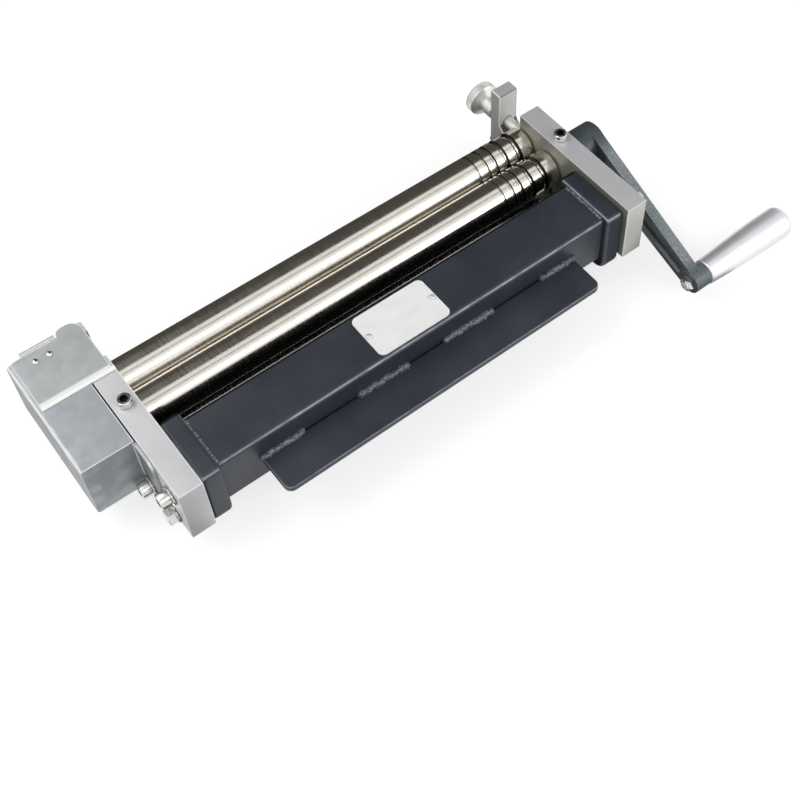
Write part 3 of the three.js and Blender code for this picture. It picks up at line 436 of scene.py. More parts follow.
spots = add(tree, "ShaderNodeMapRange", {"Value": flecks.outputs[0], "From Min": 0.25, "From Max": 0.75})
chipped = spots.outputs[0]
for share in (beyond_hub, before_end, edge_on):
    chipped = add(tree, "ShaderNodeMath", {0: chipped, 1: share.outputs[0]}, operation="MULTIPLY").outputs[0]
marked = add(tree, "ShaderNodeMix", {0: chipped, A: tone, B: colour("#b3bcbe")}, data_type="RGBA")
hammered = add(tree, "ShaderNodeTexVoronoi", {
    "Vector": place, "Scale": every(2.6 * MM)}, feature="SMOOTH_F1")
skin(cast, hammered.outputs["Distance"], 0.35, 0.15 * MM, {"Base Color": marked.outputs[MIXED]})

# %% [markdown]
# ## Nickel-plated fasteners, bronze bushes and oily gears
#
# Screws, nuts and washers are nickel-plated steel: bright and smooth, with a few dull patches.
# Bushes are turned bronze. The gears are cut from steel and darkened by oil. The walls of
# grooves and sockets are painted nearly black, as painted shade in these recesses. All four are
# plain metals that differ in colour, gloss and patchiness, so one recipe serves them.

# %% Plate, turn and cut
def plain_metal(name, dark, light, smooth, dull, patch):
    material, tree, place = start_material(name, 1.0, smooth)
    clouds, tone = drift(tree, place, patch, 5, dark, light)
    patches = add(tree, "ShaderNodeMapRange", {
        "Value": clouds, "From Min": 0.35, "From Max": 0.7, "To Min": smooth, "To Max": dull})
    scuffs = add(tree, "ShaderNodeTexNoise", {"Vector": place, "Scale": every(patch / 6), "Detail": 3})
    skin(material, scuffs.outputs[0], 0.2, 0.02 * MM, {
        "Base Color": tone, "Roughness": patches.outputs[0]})
    return material


nickel = plain_metal("nickel_plated_steel", "#bdbbb8", "#e6e4e0", 0.12, 0.28, 5 * MM)
bronze = plain_metal("turned_bronze", "#8f7440", "#c3a667", 0.28, 0.45, 4 * MM)
gear_steel = plain_metal("oiled_gear_steel", "#6c6a66", "#a3a09a", 0.28, 0.5, 3 * MM)
# Painted shade: nearly black steel for the walls of grooves and sockets.
recess_shaded_steel = plain_metal("recess_shaded_steel", "#1d1a17", "#4a453e", 0.25, 0.45, 4 * MM)

# %% [markdown]
# ## White lacquered label plate
#
# The plate on the tube is thin aluminium with a white lacquer. It is left bare here. Lacquer
# is smooth and slightly glossy, and its edge shows a thin line of metal.

# %% Lacquer the label plate
lacquer, tree, place = start_material("white_lacquer", 0.0, 0.32)
smudges, tone = drift(tree, place, 11 * MM, 5, "#e4e4e5", "#f7f7f7")
rim = edge_line(tree, place, 0.35 * MM, 6 * MM, 0.6)
edged = add(tree, "ShaderNodeMix", {0: rim, A: tone, B: colour("#a9abad")}, data_type="RGBA")
gloss = add(tree, "ShaderNodeMapRange", {"Value": smudges, "To Min": 0.24, "To Max": 0.42})
skin(lacquer, smudges, 0.15, 0.02 * MM, {
    "Base Color": edged.outputs[MIXED], "Roughness": gloss.outputs[0]})

# %% [markdown]
# ## Weld metal
#
# A weld is a row of small puddles of frozen steel. Here the enamel covers it thinly, and the
# ridges of the ripples have been brushed back to grey metal, so they catch the light.

# %% Lay the weld metal
weld_metal, tree, place = start_material("brushed_weld", 0.0, 0.45)
grit = add(tree, "ShaderNodeTexNoise", {"Vector": place, "Scale": every(1.1 * MM), "Detail": 4})
bare = add(tree, "ShaderNodeMapRange", {"Value": grit.outputs[0], "From Min": 0.42, "From Max": 0.60})
tone = add(tree, "ShaderNodeMix", {0: bare.outputs[0], A: colour("#2f3741"), B: colour("#767d85")},
           data_type="RGBA")
metal = add(tree, "ShaderNodeMapRange", {"Value": bare.outputs[0], "To Max": 0.35})
skin(weld_metal, grit.outputs[0], 0.6, 0.2 * MM, {
    "Base Color": tone.outputs[MIXED], "Metallic": metal.outputs[0]})

# %% [markdown]
# ## Working on one piece at a time
#
# An operator acts on everything that is selected, and the imported solids are selected. So
# each step first picks the one piece that it works on. Faces are picked by their place and
# the way that they look. A finished piece then gets its metal, takes the place of
# a plain solid and rides on the body that carries it. A piece that stands for no solid, such
# as a weld, rides on the frame. Some faces of a piece may get a second metal, such as the
# painted shade on the walls of a groove.

# %% Pick, smooth and hand over a piece
def pick(piece):
    bpy.ops.object.select_all(action="DESELECT")
    piece.select_set(True)
    bpy.context.view_layer.objects.active = piece


def pick_faces(piece, wanted):
    pick(piece)
    bpy.ops.object.mode_set(mode="EDIT")
    bpy.ops.mesh.select_mode(type="FACE")
    bpy.ops.mesh.select_all(action="DESELECT")
    bpy.ops.object.mode_set(mode="OBJECT")
    for face in piece.data.polygons:
        face.select = wanted(face.center, face.normal)
    bpy.ops.object.mode_set(mode="EDIT")


def apply(piece, modifier):
    pick(piece)
    bpy.ops.object.modifier_apply(modifier=modifier.name)


def hand_over(piece, metal, node=None, smooth=30):
    pick(piece)
    bpy.ops.object.shade_smooth_by_angle(angle=math.radians(smooth))
    piece.data.materials.clear()
    piece.data.materials.append(metal)
    if node:
        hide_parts(node)
    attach(piece, body_of_node[node] if node else "frame")


def inlay(piece, metal, wanted):
    piece.data.materials.append(metal)
    pick_faces(piece, wanted)
    piece.active_material_index = len(piece.data.materials) - 1
    bpy.ops.object.material_slot_assign()
    bpy.ops.object.mode_set(mode="OBJECT")


print("helpers are ready")

# %% [markdown]
# ## Easing the edges of a milled or folded piece
#
# The plain solids have knife-sharp edges, which no real piece has, and it is the narrow
# rounding that catches the light. A copy of the solid is joined up, its flats are made whole,
# and a Bevel modifier rounds every sharp edge by a fraction of a millimetre. The ends of the
# end caps are ground rounder first. The plates' painted shade and painted light, the painted
# highlight on their filed inner edges and on the lid's hem, and the painted shade on the box's
# left side are then laid in as a second metal.

# %% Ease the edges
outline_width = 5 * MM  # the outline of a cap's end lies this close to its sides, its screw holes deeper
hair, near = 0.02 * MM, 0.05 * MM  # how far points in one plane, or faces at one radius, may differ
sharp = math.radians(32)
slit = 0.7 * MM  # between the lid's left side and the mouth of the box


def round_ends(piece, radius):
    corners = [Vector(corner) for corner in piece.bound_box]
    low, high = corners[0], corners[6]

    def on_outline(vertex):
        place = vertex.co
        at_end = min(place.x - low.x, high.x - place.x) < hair
        inset = min(place.y - low.y, high.y - place.y, place.z - low.z, high.z - place.z)
        return at_end and inset < outline_width
    pick_faces(piece, lambda point, normal: False)
    bpy.ops.mesh.select_mode(type="EDGE")
    bpy.ops.object.mode_set(mode="OBJECT")
    for edge in piece.data.edges:
        start, end = (piece.data.vertices[i] for i in edge.vertices)
        along = abs(start.co.x - end.co.x)
        edge.select = on_outline(start) and on_outline(end) and along < hair
    bpy.ops.object.mode_set(mode="EDIT")
    bpy.ops.mesh.bevel(offset=radius, segments=4, affect="EDGES", clamp_overlap=False)
    bpy.ops.object.mode_set(mode="OBJECT")


def ease_edges(node, metal, radius, steps=2, end_radius=0, clamp=True):
    solid = frame["nodes"][node]
    piece = bpy.data.objects.new("eased_" + node, solid.data.copy())
    bpy.context.collection.objects.link(piece)
    pick(piece)
    bpy.ops.mesh.customdata_custom_splitnormals_clear()
    bpy.ops.object.mode_set(mode="EDIT")
    bpy.ops.mesh.select_all(action="SELECT")
    bpy.ops.mesh.remove_doubles(threshold=0.005 * MM)
    bpy.ops.mesh.dissolve_limited(angle_limit=math.radians(1.5))
    bpy.ops.object.mode_set(mode="OBJECT")
    if end_radius:
        round_ends(piece, end_radius)
    eased = piece.modifiers.new("Eased edges", "BEVEL")
    eased.width, eased.segments = radius, steps
    eased.limit_method, eased.angle_limit = "ANGLE", sharp
    eased.use_clamp_overlap = clamp
    apply(piece, eased)
    hand_over(piece, metal, node, smooth=40)
    flats = piece.modifiers.new("Even flats", "WEIGHTED_NORMAL")
    flats.keep_sharp = True
    apply(piece, flats)
    return piece


for side in ("left", "right"):
    plate = ease_edges("end_plate_" + side, milled, 0.7 * MM, clamp=False)
    inwards = 1 if side == "left" else -1
    # Painted shade on the faces towards the rolls, painted shade and reflection on the horn's front wall, a
    # painted highlight on the filed inner edges, and painted light on the right plate's front.
    inlay(plate, shaded_milled, lambda point, normal: normal.x * inwards > 0.97)
    inlay(plate, dark_shaded_milled, lambda point, normal: normal.y < -0.35 and point.y > shade_end)
    inlay(plate, edge_highlight, lambda point, normal: 0.2 < normal.x * inwards < 0.97)
    if side == "right":
        inlay(plate, lit_milled, lambda point, normal: normal.y < -0.97 and point.y < horn_front)
    ease_edges("end_cap_" + side, enamel, 0.3 * MM, end_radius=2.4 * MM)
ease_edges("base_tube", enamel, 0.4 * MM)
ease_edges("clamp_flange", enamel, 1.0 * MM, steps=3)
ease_edges("nameplate", lacquer, 0.15 * MM)
box = ease_edges("gear_cover", zinc, 0.2 * MM)
# Painted shade: the box's outer left side.
inlay(box, shaded_zinc, lambda point, normal: normal.x < -0.9)
lid = ease_edges("cover_lid", lit_zinc, 0.2 * MM)
pick_faces(lid, lambda point, normal: normal.x < -0.2 and point.x < lid_low.x + 0.5 * MM)
bpy.ops.transform.translate(value=(-slit, 0, 0))
bpy.ops.object.mode_set(mode="OBJECT")
# Painted highlight: the lid's hem.
inlay(lid, edge_highlight, lambda point, normal: normal.y < -0.2 and point.z > lid_high.z - hem_height)
print("hem faces:", sum(face.material_index for face in lid.data.polygons))
for node in ("hinge_leaf_fixed", "hinge_leaf_lid"):
    ease_edges(node, milled, 0.2 * MM)
ease_edges("crank_arm", cast, 0.9 * MM, steps=3)

# %% [markdown]
# ## A lathe made of two operators
#
# A lathe cuts a bar to a list of diameters. Here a circle starts the piece, and for each
# station along the axis it is extruded and then resized to the next radius. A hollow piece
# starts with an open circle and comes back to it, so that its wall closes on itself.

# %% Turn a piece
ways = {"X": Vector((1, 0, 0)), "Y": Vector((0, 1, 0)), "Z": Vector((0, 0, 1))}
facing = {"X": (0, math.pi / 2, 0), "Y": (math.pi / 2, 0, 0), "Z": (0, 0, 0)}


def middle_of(node):
    low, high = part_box(node)
    return (low + high) / 2


def distance_from(axis, centre, point):
    spoke = point - centre
    return (spoke - ways[axis] * spoke.dot(ways[axis])).length


def turn(name, axis, centre, stations, sides=48, hollow=False):
    way = ways[axis]
    spine = Vector(centre) - way * Vector(centre).dot(way)
    place, radius = stations[0]
    bpy.ops.mesh.primitive_circle_add(
        vertices=sides, radius=radius, location=spine + way * place, rotation=facing[axis],
        fill_type="NOTHING" if hollow else "NGON")
    piece = bpy.context.object
    bpy.ops.object.transform_apply()
    bpy.ops.object.mode_set(mode="EDIT")
    bpy.ops.mesh.select_mode(type="VERT")
    bpy.ops.mesh.select_all(action="SELECT")
    for next_place, next_radius in stations[1:]:
        step = way * (next_place - place)
        bpy.ops.mesh.extrude_region_move(TRANSFORM_OT_translate={"value": step})
        swell = next_radius / radius
        bpy.ops.transform.resize(
            value=[1 if part else swell for part in way],
            center_override=spine + way * next_place)
        place, radius = next_place, next_radius
    bpy.ops.mesh.select_all(action="SELECT")
    bpy.ops.mesh.remove_doubles(threshold=0.001 * MM)
    bpy.ops.mesh.normals_make_consistent(inside=False)
    bpy.ops.object.mode_set(mode="OBJECT")
    piece.name = piece.data.name = name
    return piece


print("slip roll axis at", [round(v / MM, 1) for v in middle_of("slip_roll")])

# %% [markdown]
# ## The three rolls
#
# Each roll is one bar of steel: a thick middle that works the sheet, and thinner journals
# that run in the bushes. The two upper rolls carry a row of round grooves for wire, from
# narrow to wide. A small chamfer takes the sharp edge off each end of the working part.

# %% Turn the rolls
roll_radius = 12.5 * MM
roll_half = 150 * MM
roll_chamfer = 0.6 * MM
end_chamfer = 0.5 * MM
groove_widths = [1.6, 2.0, 2.6, 3.4, 4.4]  # in mm
groove_lands = [5.6, 4.2, 5.4, 6.2, 9.2]  # land to the right of each groove
groove_steps = 8
drive_journal, slip_journal, crank_seat, gear_seat = 6.5 * MM, 5 * MM, 5.5 * MM, 5 * MM
bolt_hole, hole_depth = 3.3 * MM, 12 * MM  # for the crank's bolt


def wire_grooves():
    stations = []
    place = roll_half - (sum(groove_widths) + sum(groove_lands)) * MM
    for width, land in zip(groove_widths, groove_lands):
        half = width * MM / 2
        for step in range(groove_steps + 1):
            angle = math.pi * step / groove_steps
            stations.append((place + half - half * math.cos(angle), roll_radius - half * math.sin(angle)))
        place += (width + land) * MM
    return stations


def turn_roll(node, left_end, right_end, grooves):
    stations = left_end + [
        (-roll_half, roll_radius - roll_chamfer), (-roll_half + roll_chamfer, roll_radius),
        *grooves,
        (roll_half - roll_chamfer, roll_radius), (roll_half, roll_radius - roll_chamfer)] + right_end
    centre = middle_of(node)
    piece = turn("turned_" + node, "X", centre, stations, sides=96)
    hand_over(piece, ground, node)

    # Painted shade on the groove walls.
    def groove_wall(point, normal):
        return (abs(point.x) < roll_half - roll_chamfer and abs(normal.x) > 0.45
                and distance_from("X", centre, point) < roll_radius - near)
    if grooves:
        inlay(piece, recess_shaded_steel, groove_wall)


def plain_journal(node, side):
    low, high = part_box(node)
    end = low.x if side < 0 else high.x
    ends = [
        (end, slip_journal - end_chamfer), (end - side * end_chamfer, slip_journal),
        (side * roll_half, slip_journal)]
    return ends if side < 0 else ends[::-1]


drive_low, drive_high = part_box("drive_roll")
gear_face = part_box("drive_gear")[0].x + 1 * MM
hub_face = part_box("crank_arm")[0].x + 2 * MM
drive_left = [
    (drive_low.x, gear_seat - end_chamfer), (drive_low.x + end_chamfer, gear_seat),
    (gear_face, gear_seat), (gear_face, drive_journal), (-roll_half, drive_journal)]
drive_right = [
    (roll_half, drive_journal), (hub_face, drive_journal), (hub_face, crank_seat),
    (drive_high.x, crank_seat), (drive_high.x, bolt_hole), (drive_high.x - hole_depth, bolt_hole)]
turn_roll("drive_roll", drive_left, drive_right, wire_grooves())
for node, grooves in (("slip_roll", wire_grooves()), ("bending_roll", [])):
    turn_roll(node, plain_journal(node, -1), plain_journal(node, 1), grooves)

# %% [markdown]
# ## Screws, bolts, nuts and washers
#
# A socket-head screw is turned with a shank, a head and a crown, and a six-sided tool is then
# cut out of the head. The screws that fingers turn, behind the rolls, have a knurled head. A
# knurl is made by insetting each small face of the head's side and sinking it a little. A hex
# bolt starts as a six-sided bar, and a turned cone cuts the sharp corners off. Each fastener
# points outwards, up its axis or down it, so `out` is 1 or -1.

# %% Turn the fasteners
shank, head_radius, head_height = 3 * MM, 5 * MM, 6 * MM
washer_radius, washer_play = 6.2 * MM, 0.3 * MM
crown, head_ease, socket_depth = 0.8 * MM, 0.25 * MM, 2.6 * MM
hex_height = 4.5 * MM


def hex_corner(across_flats):
    return across_flats / 2 / math.cos(math.pi / 6) * MM


def cut_away(piece, tool, keep_common=False):
    cut = piece.modifiers.new("Cut", "BOOLEAN")
    cut.operation = "INTERSECT" if keep_common else "DIFFERENCE"
    cut.solver = "EXACT"
    cut.object = tool
    apply(piece, cut)
    bpy.data.objects.remove(tool)


def knurl(piece, axis, centre, radius, inset, depth):
    def on_rim(point, normal):
        return abs(normal.dot(ways[axis])) < 0.05 and abs(distance_from(axis, centre, point) - radius) < near
    pick_faces(piece, on_rim)
    bpy.ops.mesh.inset(thickness=inset, depth=-depth, use_individual=True)
    bpy.ops.object.mode_set(mode="OBJECT")


def tip_and_top(node, axis, out):
    return [corner.dot(ways[axis]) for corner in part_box(node)][::out]


def screw(node, axis, out, radius, height, body_radius, socket, knurled=False):
    tip, top = tip_and_top(node, axis, out)
    seat = top - out * height
    centre = middle_of(node)
    stations = [
        (tip, body_radius * 0.8), (tip + out * end_chamfer, body_radius), (seat, body_radius),
        (seat, radius - head_ease), (seat + out * head_ease, radius)]
    bands = 4 if knurled else 1
    rim = height - head_ease - crown
    stations += [(seat + out * (head_ease + rim * (i + 1) / bands), radius) for i in range(bands)]
    stations += [(top - out * 0.35 * MM, radius - 0.22 * MM), (top, radius - 0.75 * MM)]  # the crown
    piece = turn("turned_" + node, axis, centre, stations, sides=48)
    if knurled:
        knurl(piece, axis, centre, radius, 0.12 * MM, 0.12 * MM)
    tool = turn("socket_tool", axis, centre, [
        (top - out * socket_depth, socket), (top + out * 1 * MM, socket)], sides=6)
    cut_away(piece, tool)
    hand_over(piece, nickel, node)

    # Painted shade on the socket's walls.
    def in_socket(point, normal):
        sunk = out * (top - point.dot(ways[axis]))
        return distance_from(axis, centre, point) < socket and 0.1 * MM < sunk < socket_depth + 0.1 * MM
    inlay(piece, recess_shaded_steel, in_socket)


def hex_bolt(node, out):
    tip, top = tip_and_top(node, "X", out)
    hex_radius = hex_corner(10)
    seat = top - out * hex_height
    centre = middle_of(node)
    piece = turn("turned_" + node, "X", centre, [(seat, hex_radius), (top, hex_radius)], sides=6)
    cone = turn("cone_tool", "X", centre, [
        (seat - out * 1 * MM, hex_radius + 1 * MM), (seat, hex_radius + 1 * MM),
        (top - out * 1.0 * MM, hex_radius + 0.1 * MM), (top, hex_radius - 1.1 * MM)], sides=48)
    cut_away(piece, cone, keep_common=True)
    shaft = turn("bolt_shank", "X", centre, [
        (tip, shank * 0.8), (tip + out * end_chamfer, shank), (seat + out * 0.1 * MM, shank)], sides=32)
    pick(piece)
    shaft.select_set(True)
    bpy.ops.object.join()
    hand_over(piece, nickel, node)


def washer(node, rim):
    low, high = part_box(node)
    bore, ease = shank + washer_play, 0.2 * MM
    stations = [
        (low.x, bore), (low.x, rim - ease), (low.x + ease, rim), (high.x - ease, rim),
        (high.x, rim - ease), (high.x, bore), (low.x, bore)]
    piece = turn("turned_" + node, "X", middle_of(node), stations, sides=48, hollow=True)
    hand_over(piece, nickel, node)


for side, out in (("left", -1), ("right", 1)):
    for place in ("upper", "foot"):
        screw(f"{place}_screw_{side}", "X", out, head_radius, head_height, shank, 3 * MM)
    hex_bolt(f"lower_screw_{side}", out)
    for place in ("upper", "lower", "foot"):
        washer(f"{place}_washer_{side}", washer_radius)
    screw(f"bush_screw_{side}", "Z", 1, 4.4 * MM, 4.4 * MM, 2.5 * MM, 2.6 * MM)
    screw(f"bending_screw_{side}", "Y", 1, 4.8 * MM, 4.2 * MM, 3 * MM, 2.9 * MM, knurled=True)
screw("press_screw_left", "Y", 1, 6.5 * MM, 8 * MM, 3.8 * MM, 3.5 * MM, knurled=True)
hex_bolt("crank_bolt", 1)
washer("crank_washer", 7.5 * MM)

# %% [markdown]
# ## Rivets
#
# Small round-headed rivets hold the label plate and the lid's hinge. Only the domed head
# shows, so the dome is turned in a few steps and the shank ends inside the piece below.

# %% Turn the rivets
rivet_shank, rivet_head, dome_height = 1.1 * MM, 1.9 * MM, 1.1 * MM


def rivet(node, metal):
    low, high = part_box(node)
    seat = high.z - dome_height
    dome = []
    for step in range(6):
        angle = math.pi / 2 * step / 6
        dome.append((seat + dome_height * math.sin(angle), rivet_head * math.cos(angle)))
    stations = [(low.z, rivet_shank), (seat, rivet_shank), *dome, (high.z, rivet_head * 0.08)]
    piece = turn("turned_" + node, "Z", middle_of(node), stations, sides=24)
    hand_over(piece, metal, node, smooth=60)


for side in ("left", "right"):
    rivet("nameplate_rivet_" + side, milled)
    rivet("lid_rivet_" + side, nickel)

# %% [markdown]
# ## The press knob
#
# The knurled knob behind the right plate pushes the slip roll forward. It is one turned
# piece: a threaded shank, a neck with a groove, a flare and a wide head. The rim is knurled
# so that it can be gripped, and the face is dished.

# %% Turn the press knob
knob_low, knob_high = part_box("press_screw_right")
knob_end = knob_high.y
head_length, flare_length, neck_length = 6 * MM, 4.3 * MM, 9 * MM
knob_radius, neck_radius, knob_shank = 11.6 * MM, 6.4 * MM, 3.8 * MM
flare = knob_end - head_length - flare_length
neck = flare - neck_length
face = knob_end - 0.9 * MM
knob_stations = [
    (knob_low.y, knob_shank - 1 * MM), (knob_low.y + 1.5 * MM, knob_shank), (neck, knob_shank),
    (neck, neck_radius - 0.4 * MM), (neck + 0.4 * MM, neck_radius), (flare - 2.2 * MM, neck_radius),
    (flare - 1.6 * MM, neck_radius - 0.8 * MM), (flare, neck_radius - 0.8 * MM),
    (flare + 1.6 * MM, neck_radius + 0.6 * MM), (flare + 3.3 * MM, knob_radius - 1.2 * MM),
    (flare + 4.0 * MM, knob_radius - 0.2 * MM), (flare + 4.5 * MM, knob_radius),
    (knob_end - 1.4 * MM, knob_radius), (knob_end - 0.5 * MM, knob_radius - 0.3 * MM),
    (knob_end, knob_radius - 1.0 * MM), (knob_end, knob_radius * 0.66), (face, knob_radius * 0.56),
    (face, knob_radius * 0.2)]
knob = turn("turned_press_knob", "Y", middle_of("press_screw_right"), knob_stations, sides=72)
knurl(knob, "Y", middle_of("press_screw_right"), knob_radius, 0.2 * MM, 0.25 * MM)
hand_over(knob, knob_metal, "press_screw_right")
print("knob faces:", len(knob.data.polygons))

# %% [markdown]
# ## The crank's handle
#
# The handle is a slim pear of brushed aluminium that turns on a steel spindle. Its radius
# grows fast near the crank and slowly towards the end, which has a full, soft rounding. The
# spindle's head sits in a counterbore there, and a small domed nut holds the other end.

# %% Turn the handle, its spindle and its nut
grip_low, grip_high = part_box("crank_handle")
grip_radii = [8.4, 9.3, 10.2, 10.7, 10.8]  # in mm, evenly spaced up to the rounded nose
nose, grip_steps, nose_steps = 4.5 * MM, 16, 8
grip_bore, sink_radius, sink_depth = 3.8 * MM, 6.8 * MM, 6 * MM
straight = grip_high.x - nose
grip_stations = [(grip_low.x, grip_bore), (grip_low.x, 7.8 * MM), (grip_low.x + 0.6 * MM, 8.4 * MM)]
for i in range(1, grip_steps + 1):
    share = i / grip_steps * (len(grip_radii) - 1)
    first = min(int(share), len(grip_radii) - 2)
    radius = grip_radii[first] + (grip_radii[first + 1] - grip_radii[first]) * (share - first)
    grip_stations.append((grip_low.x + (straight - grip_low.x) * i / grip_steps, radius * MM))
for i in range(1, nose_steps + 1):
    angle = math.pi / 2 * i / nose_steps
    radius = grip_radii[-1] * MM - nose * 0.6 * (1 - math.cos(angle))
    grip_stations.append((straight + nose * math.sin(angle), radius))
grip_stations += [
    (grip_high.x, sink_radius), (grip_high.x - sink_depth, sink_radius),
    (grip_high.x - sink_depth, grip_bore), (grip_low.x, grip_bore)]
grip = turn("turned_crank_handle", "X", middle_of("crank_handle"), grip_stations, sides=96, hollow=True)
hand_over(grip, handle_metal, "crank_handle", smooth=40)
screw("handle_spindle", "X", 1, 6.2 * MM, 4 * MM, 3.5 * MM, 3.4 * MM)

nut_low, nut_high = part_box("spindle_nut")
nut_radius = hex_corner(9)
nut = turn("turned_spindle_nut", "X", middle_of("spindle_nut"), [
    (nut_low.x, nut_radius), (nut_high.x, nut_radius)], sides=6)
dome = turn("dome_tool", "X", middle_of("spindle_nut"), [
    (nut_low.x - 0.1 * MM, nut_radius * 0.72), (nut_low.x + 0.5 * MM, nut_radius * 0.9),
    (nut_low.x + 1.3 * MM, nut_radius + 0.1 * MM), (nut_high.x + 1 * MM, nut_radius + 0.1 * MM)], sides=48)
cut_away(nut, dome, keep_common=True)
hand_over(nut, nickel, "spindle_nut")
print("handle is", round((grip_high.x - grip_low.x) / MM, 1), "mm long")

# %% [markdown]
# ## Weld beads
#
# The flange is held by four short welds along its root, and each end cap by a thin weld along
# the tube's top. A bead is a row of overlapping puddles. One puddle is a flattened ball, its
# copies follow each other along the joint with small random shifts, and a voxel remesh melts
# them into one lumpy skin.

# %% Lay the beads
chance = random.Random(7)


def lay_bead(name, start, end, radius, pitch):
    start, end = Vector(start), Vector(end)
    bpy.ops.mesh.primitive_uv_sphere_add(segments=14, ring_count=8)
    puddle = bpy.context.object
    count = max(2, round((end - start).length / pitch))
    row = [puddle] + [puddle.copy() for _ in range(count)]
    for i, copy in enumerate(row):
        if i:
            copy.data = puddle.data.copy()
            bpy.context.collection.objects.link(copy)
        wobble = Vector(chance.uniform(-0.16, 0.16) * radius for _ in range(3))
        size = radius * chance.uniform(0.82, 1.12)
        copy.location = start.lerp(end, i / count) + wobble
        copy.scale = (size, size, size * chance.uniform(0.8, 1.0))
    pick(puddle)
    for copy in row:
        copy.select_set(True)
    bpy.ops.object.join()
    bpy.ops.object.transform_apply()
    melt = puddle.modifiers.new("Melt", "REMESH")
    melt.mode, melt.voxel_size = "VOXEL", radius / 4.5
    apply(puddle, melt)
    ripple = puddle.modifiers.new("Settle", "SMOOTH")
    ripple.factor, ripple.iterations = 0.5, 2
    apply(puddle, ripple)
    puddle.name = puddle.data.name = name
    hand_over(puddle, weld_metal, smooth=60)


tube_low, tube_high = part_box("base_tube")
root_y, root_z = tube_low.y - 0.6 * MM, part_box("clamp_flange")[1].z + 0.5 * MM
flange_welds = [(-112.5, -87), (-46, -15), (15, 48), (88, 112.5)]  # from and to, in mm
for number, (first, last) in enumerate(flange_welds, 1):
    lay_bead(f"flange_weld_{number}", (first * MM, root_y, root_z), (last * MM, root_y, root_z),
             radius=2.6 * MM, pitch=1.9 * MM)
for side, end in (("left", tube_low.x), ("right", tube_high.x)):
    front, back = tube_low.y + 3 * MM, tube_high.y - 4 * MM
    level = tube_high.z + 0.1 * MM
    lay_bead(f"cap_weld_top_{side}", (end, front, level), (end, back, level),
             radius=1.25 * MM, pitch=1.1 * MM)

# %% [markdown]
# ## Finishes for the solids that stay
#
# Bushes, gears and blocks sit between or behind other pieces. Their solids already have the
# right shape, so only their edges are eased. What is left, such as the gears' nuts, keeps its
# solid and is nickel-plated.

# %% Give the inner pieces their metal
inner_metals = {
    "bronze": (bronze, ["drive_bush_left", "drive_bush_right", "slip_bush_left", "slip_bush_right"]),
    "bright_steel": (gear_steel, ["drive_gear", "slip_gear", "bending_block_left", "bending_block_right"]),
}
for slot, (metal, nodes) in inner_metals.items():
    for node in nodes:
        ease_edges(node, metal, 0.15 * MM)
plain = [o for o in frame["nodes"].values() if not o.hide_render]
for solid in plain:
    solid.data.materials.clear()
    solid.data.materials.append(nickel)
print("solids that stay:", sorted(o.name for o in plain))

# %% [markdown]
# ## The floor, the light and the background
#
# A product photograph is taken on a pale sweep under large soft lamps: one above and behind,
# one in front, one low on the right and a weak one on the left. Bright metal has no look of
# its own and only mirrors the room, so a dark hood curves up behind the machine, mats lie on
# the floor, and two slats hang between the lamps. Only reflections see these cards. Floor and
# room glow for what looks straight at them or mirrors them, so the floor is white to the
# camera and still takes the shadow.

# %% Build the studio
middle = (0.02, 0.05, 0.0)  # what the lamps look at, in metres
floor_glow, room_glow = 0.68, 0.35


def soft_lamp(name, place, size, watts):
    bpy.ops.object.light_add(type="AREA", location=place)
    lamp = bpy.context.object
    lamp.name = name
    lamp.data.shape = "RECTANGLE"
    lamp.data.size, lamp.data.size_y = size
    lamp.data.energy = watts
    lamp.rotation_euler = (Vector(middle) - Vector(place)).to_track_quat("-Z", "Y").to_euler()


def sight(tree):
    rays = add(tree, "ShaderNodeLightPath").outputs
    seen = rays["Is Camera Ray"]
    for kind in ("Is Glossy Ray", "Is Transmission Ray"):
        seen = add(tree, "ShaderNodeMath", {0: seen, 1: rays[kind]}, operation="MAXIMUM").outputs[0]
    return seen


soft_lamp("top_lamp", (-0.45, 0.5, 1.0), (1.2, 0.5), 6.2)
soft_lamp("front_lamp", (-0.10, -0.85, 0.95), (1.8, 0.33), 5.5)
soft_lamp("side_lamp", (0.80, -0.95, 0.4), (0.6, 0.6), 4.5)
soft_lamp("left_lamp", (-1.0, 0.1, 0.8), (0.6, 0.6), 0.7)

floor_level = cad_low.z - 0.1 * MM
bpy.ops.mesh.primitive_plane_add(size=8, location=(0, 0, floor_level))
floor = bpy.context.object
floor.name = "floor"
paper, tree, _ = start_material("white_paper", 0.0, 0.9)
shader = tree.nodes["Principled BSDF"]
shader.inputs["Base Color"].default_value = colour("#b4b4b4")
lift = add(tree, "ShaderNodeMath", {0: sight(tree), 1: floor_glow}, operation="MULTIPLY")
shader.inputs["Emission Color"].default_value = (1, 1, 1, 1)
tree.links.new(lift.outputs[0], shader.inputs["Emission Strength"])
floor.data.materials.append(paper)

world = bpy.data.worlds.new("pale_room")
bpy.context.scene.world = world
world.use_nodes = True
tree = world.node_tree
sky = tree.nodes["Background"]
level = add(tree, "ShaderNodeMapRange", {"Value": sight(tree), "To Min": room_glow, "To Max": 1.0})
tree.links.new(level.outputs[0], sky.inputs["Strength"])
sky.inputs["Color"].default_value = (1, 1, 1, 1)

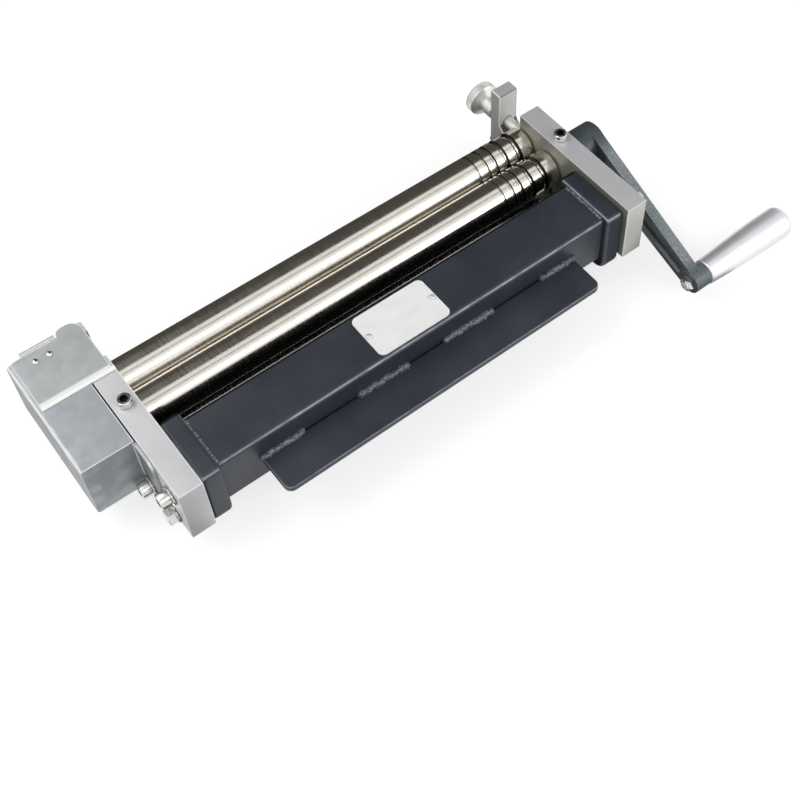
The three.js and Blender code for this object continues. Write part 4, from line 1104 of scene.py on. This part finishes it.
hood_radius, hood_left, hood_right = 0.7, -0.22, 0.9
hood_front, hood_back = 12, 90  # degrees from straight up, towards the back
slats = (-11, -67)  # the same, of the dark slats between the lamps
slat_half = 2.5


def card(name, code):
    material, tree, _ = start_material(name, 0.0, 0.9)
    shader = tree.nodes["Principled BSDF"]
    shader.inputs["Base Color"].default_value = colour("#000000")
    shader.inputs["Specular IOR Level"].default_value = 0
    shader.inputs["Emission Color"].default_value = colour(code)
    shader.inputs["Emission Strength"].default_value = 1
    piece = bpy.context.object
    piece.name = name
    piece.data.materials.append(material)
    piece.visible_camera = piece.visible_diffuse = piece.visible_shadow = False
    return piece


def curved_card(name, code, first, last):
    bpy.ops.mesh.primitive_cylinder_add(
        vertices=144, radius=hood_radius, depth=hood_right - hood_left, end_fill_type="NOTHING",
        location=((hood_left + hood_right) / 2, middle[1], floor_level), rotation=(0, math.pi / 2, 0))
    bpy.ops.object.transform_apply()
    piece = bpy.context.object

    def outside(point, normal):
        turned = math.degrees(math.atan2(point.y - middle[1], point.z - floor_level))
        return not first < turned < last
    pick_faces(piece, outside)
    bpy.ops.mesh.delete(type="FACE")
    bpy.ops.object.mode_set(mode="OBJECT")
    return card(name, code)


def flat_card(name, code, low, high):
    bpy.ops.mesh.primitive_plane_add(
        size=1, location=((low[0] + high[0]) / 2, (low[1] + high[1]) / 2, floor_level + 0.05 * MM))
    bpy.ops.transform.resize(value=(high[0] - low[0], high[1] - low[1], 1))
    bpy.ops.object.transform_apply()
    return card(name, code)


plate_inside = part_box("end_plate_right")[0].x
cards = [
    curved_card("dark_hood", "#4c4945", hood_front, hood_back),
    flat_card("dark_mat", "#4c4945", (-plate_inside, cad_high.y), (hood_right, middle[1] + hood_radius)),
    flat_card("black_mat", "#0d0c0a", (-plate_inside, tube_low.y), (plate_inside, cad_high.y)),
]
for left, right in ((cad_low.x - 0.05, -plate_inside), (plate_inside, 0.21)):
    cards.append(flat_card("grey_mat", "#77777a", (left, cad_low.y - 0.03), (right, tube_low.y)))
for slat in slats:
    cards.append(curved_card("slat", "#6f6c66", slat - slat_half, slat + slat_half))
bpy.context.scene.view_settings.view_transform = "Standard"
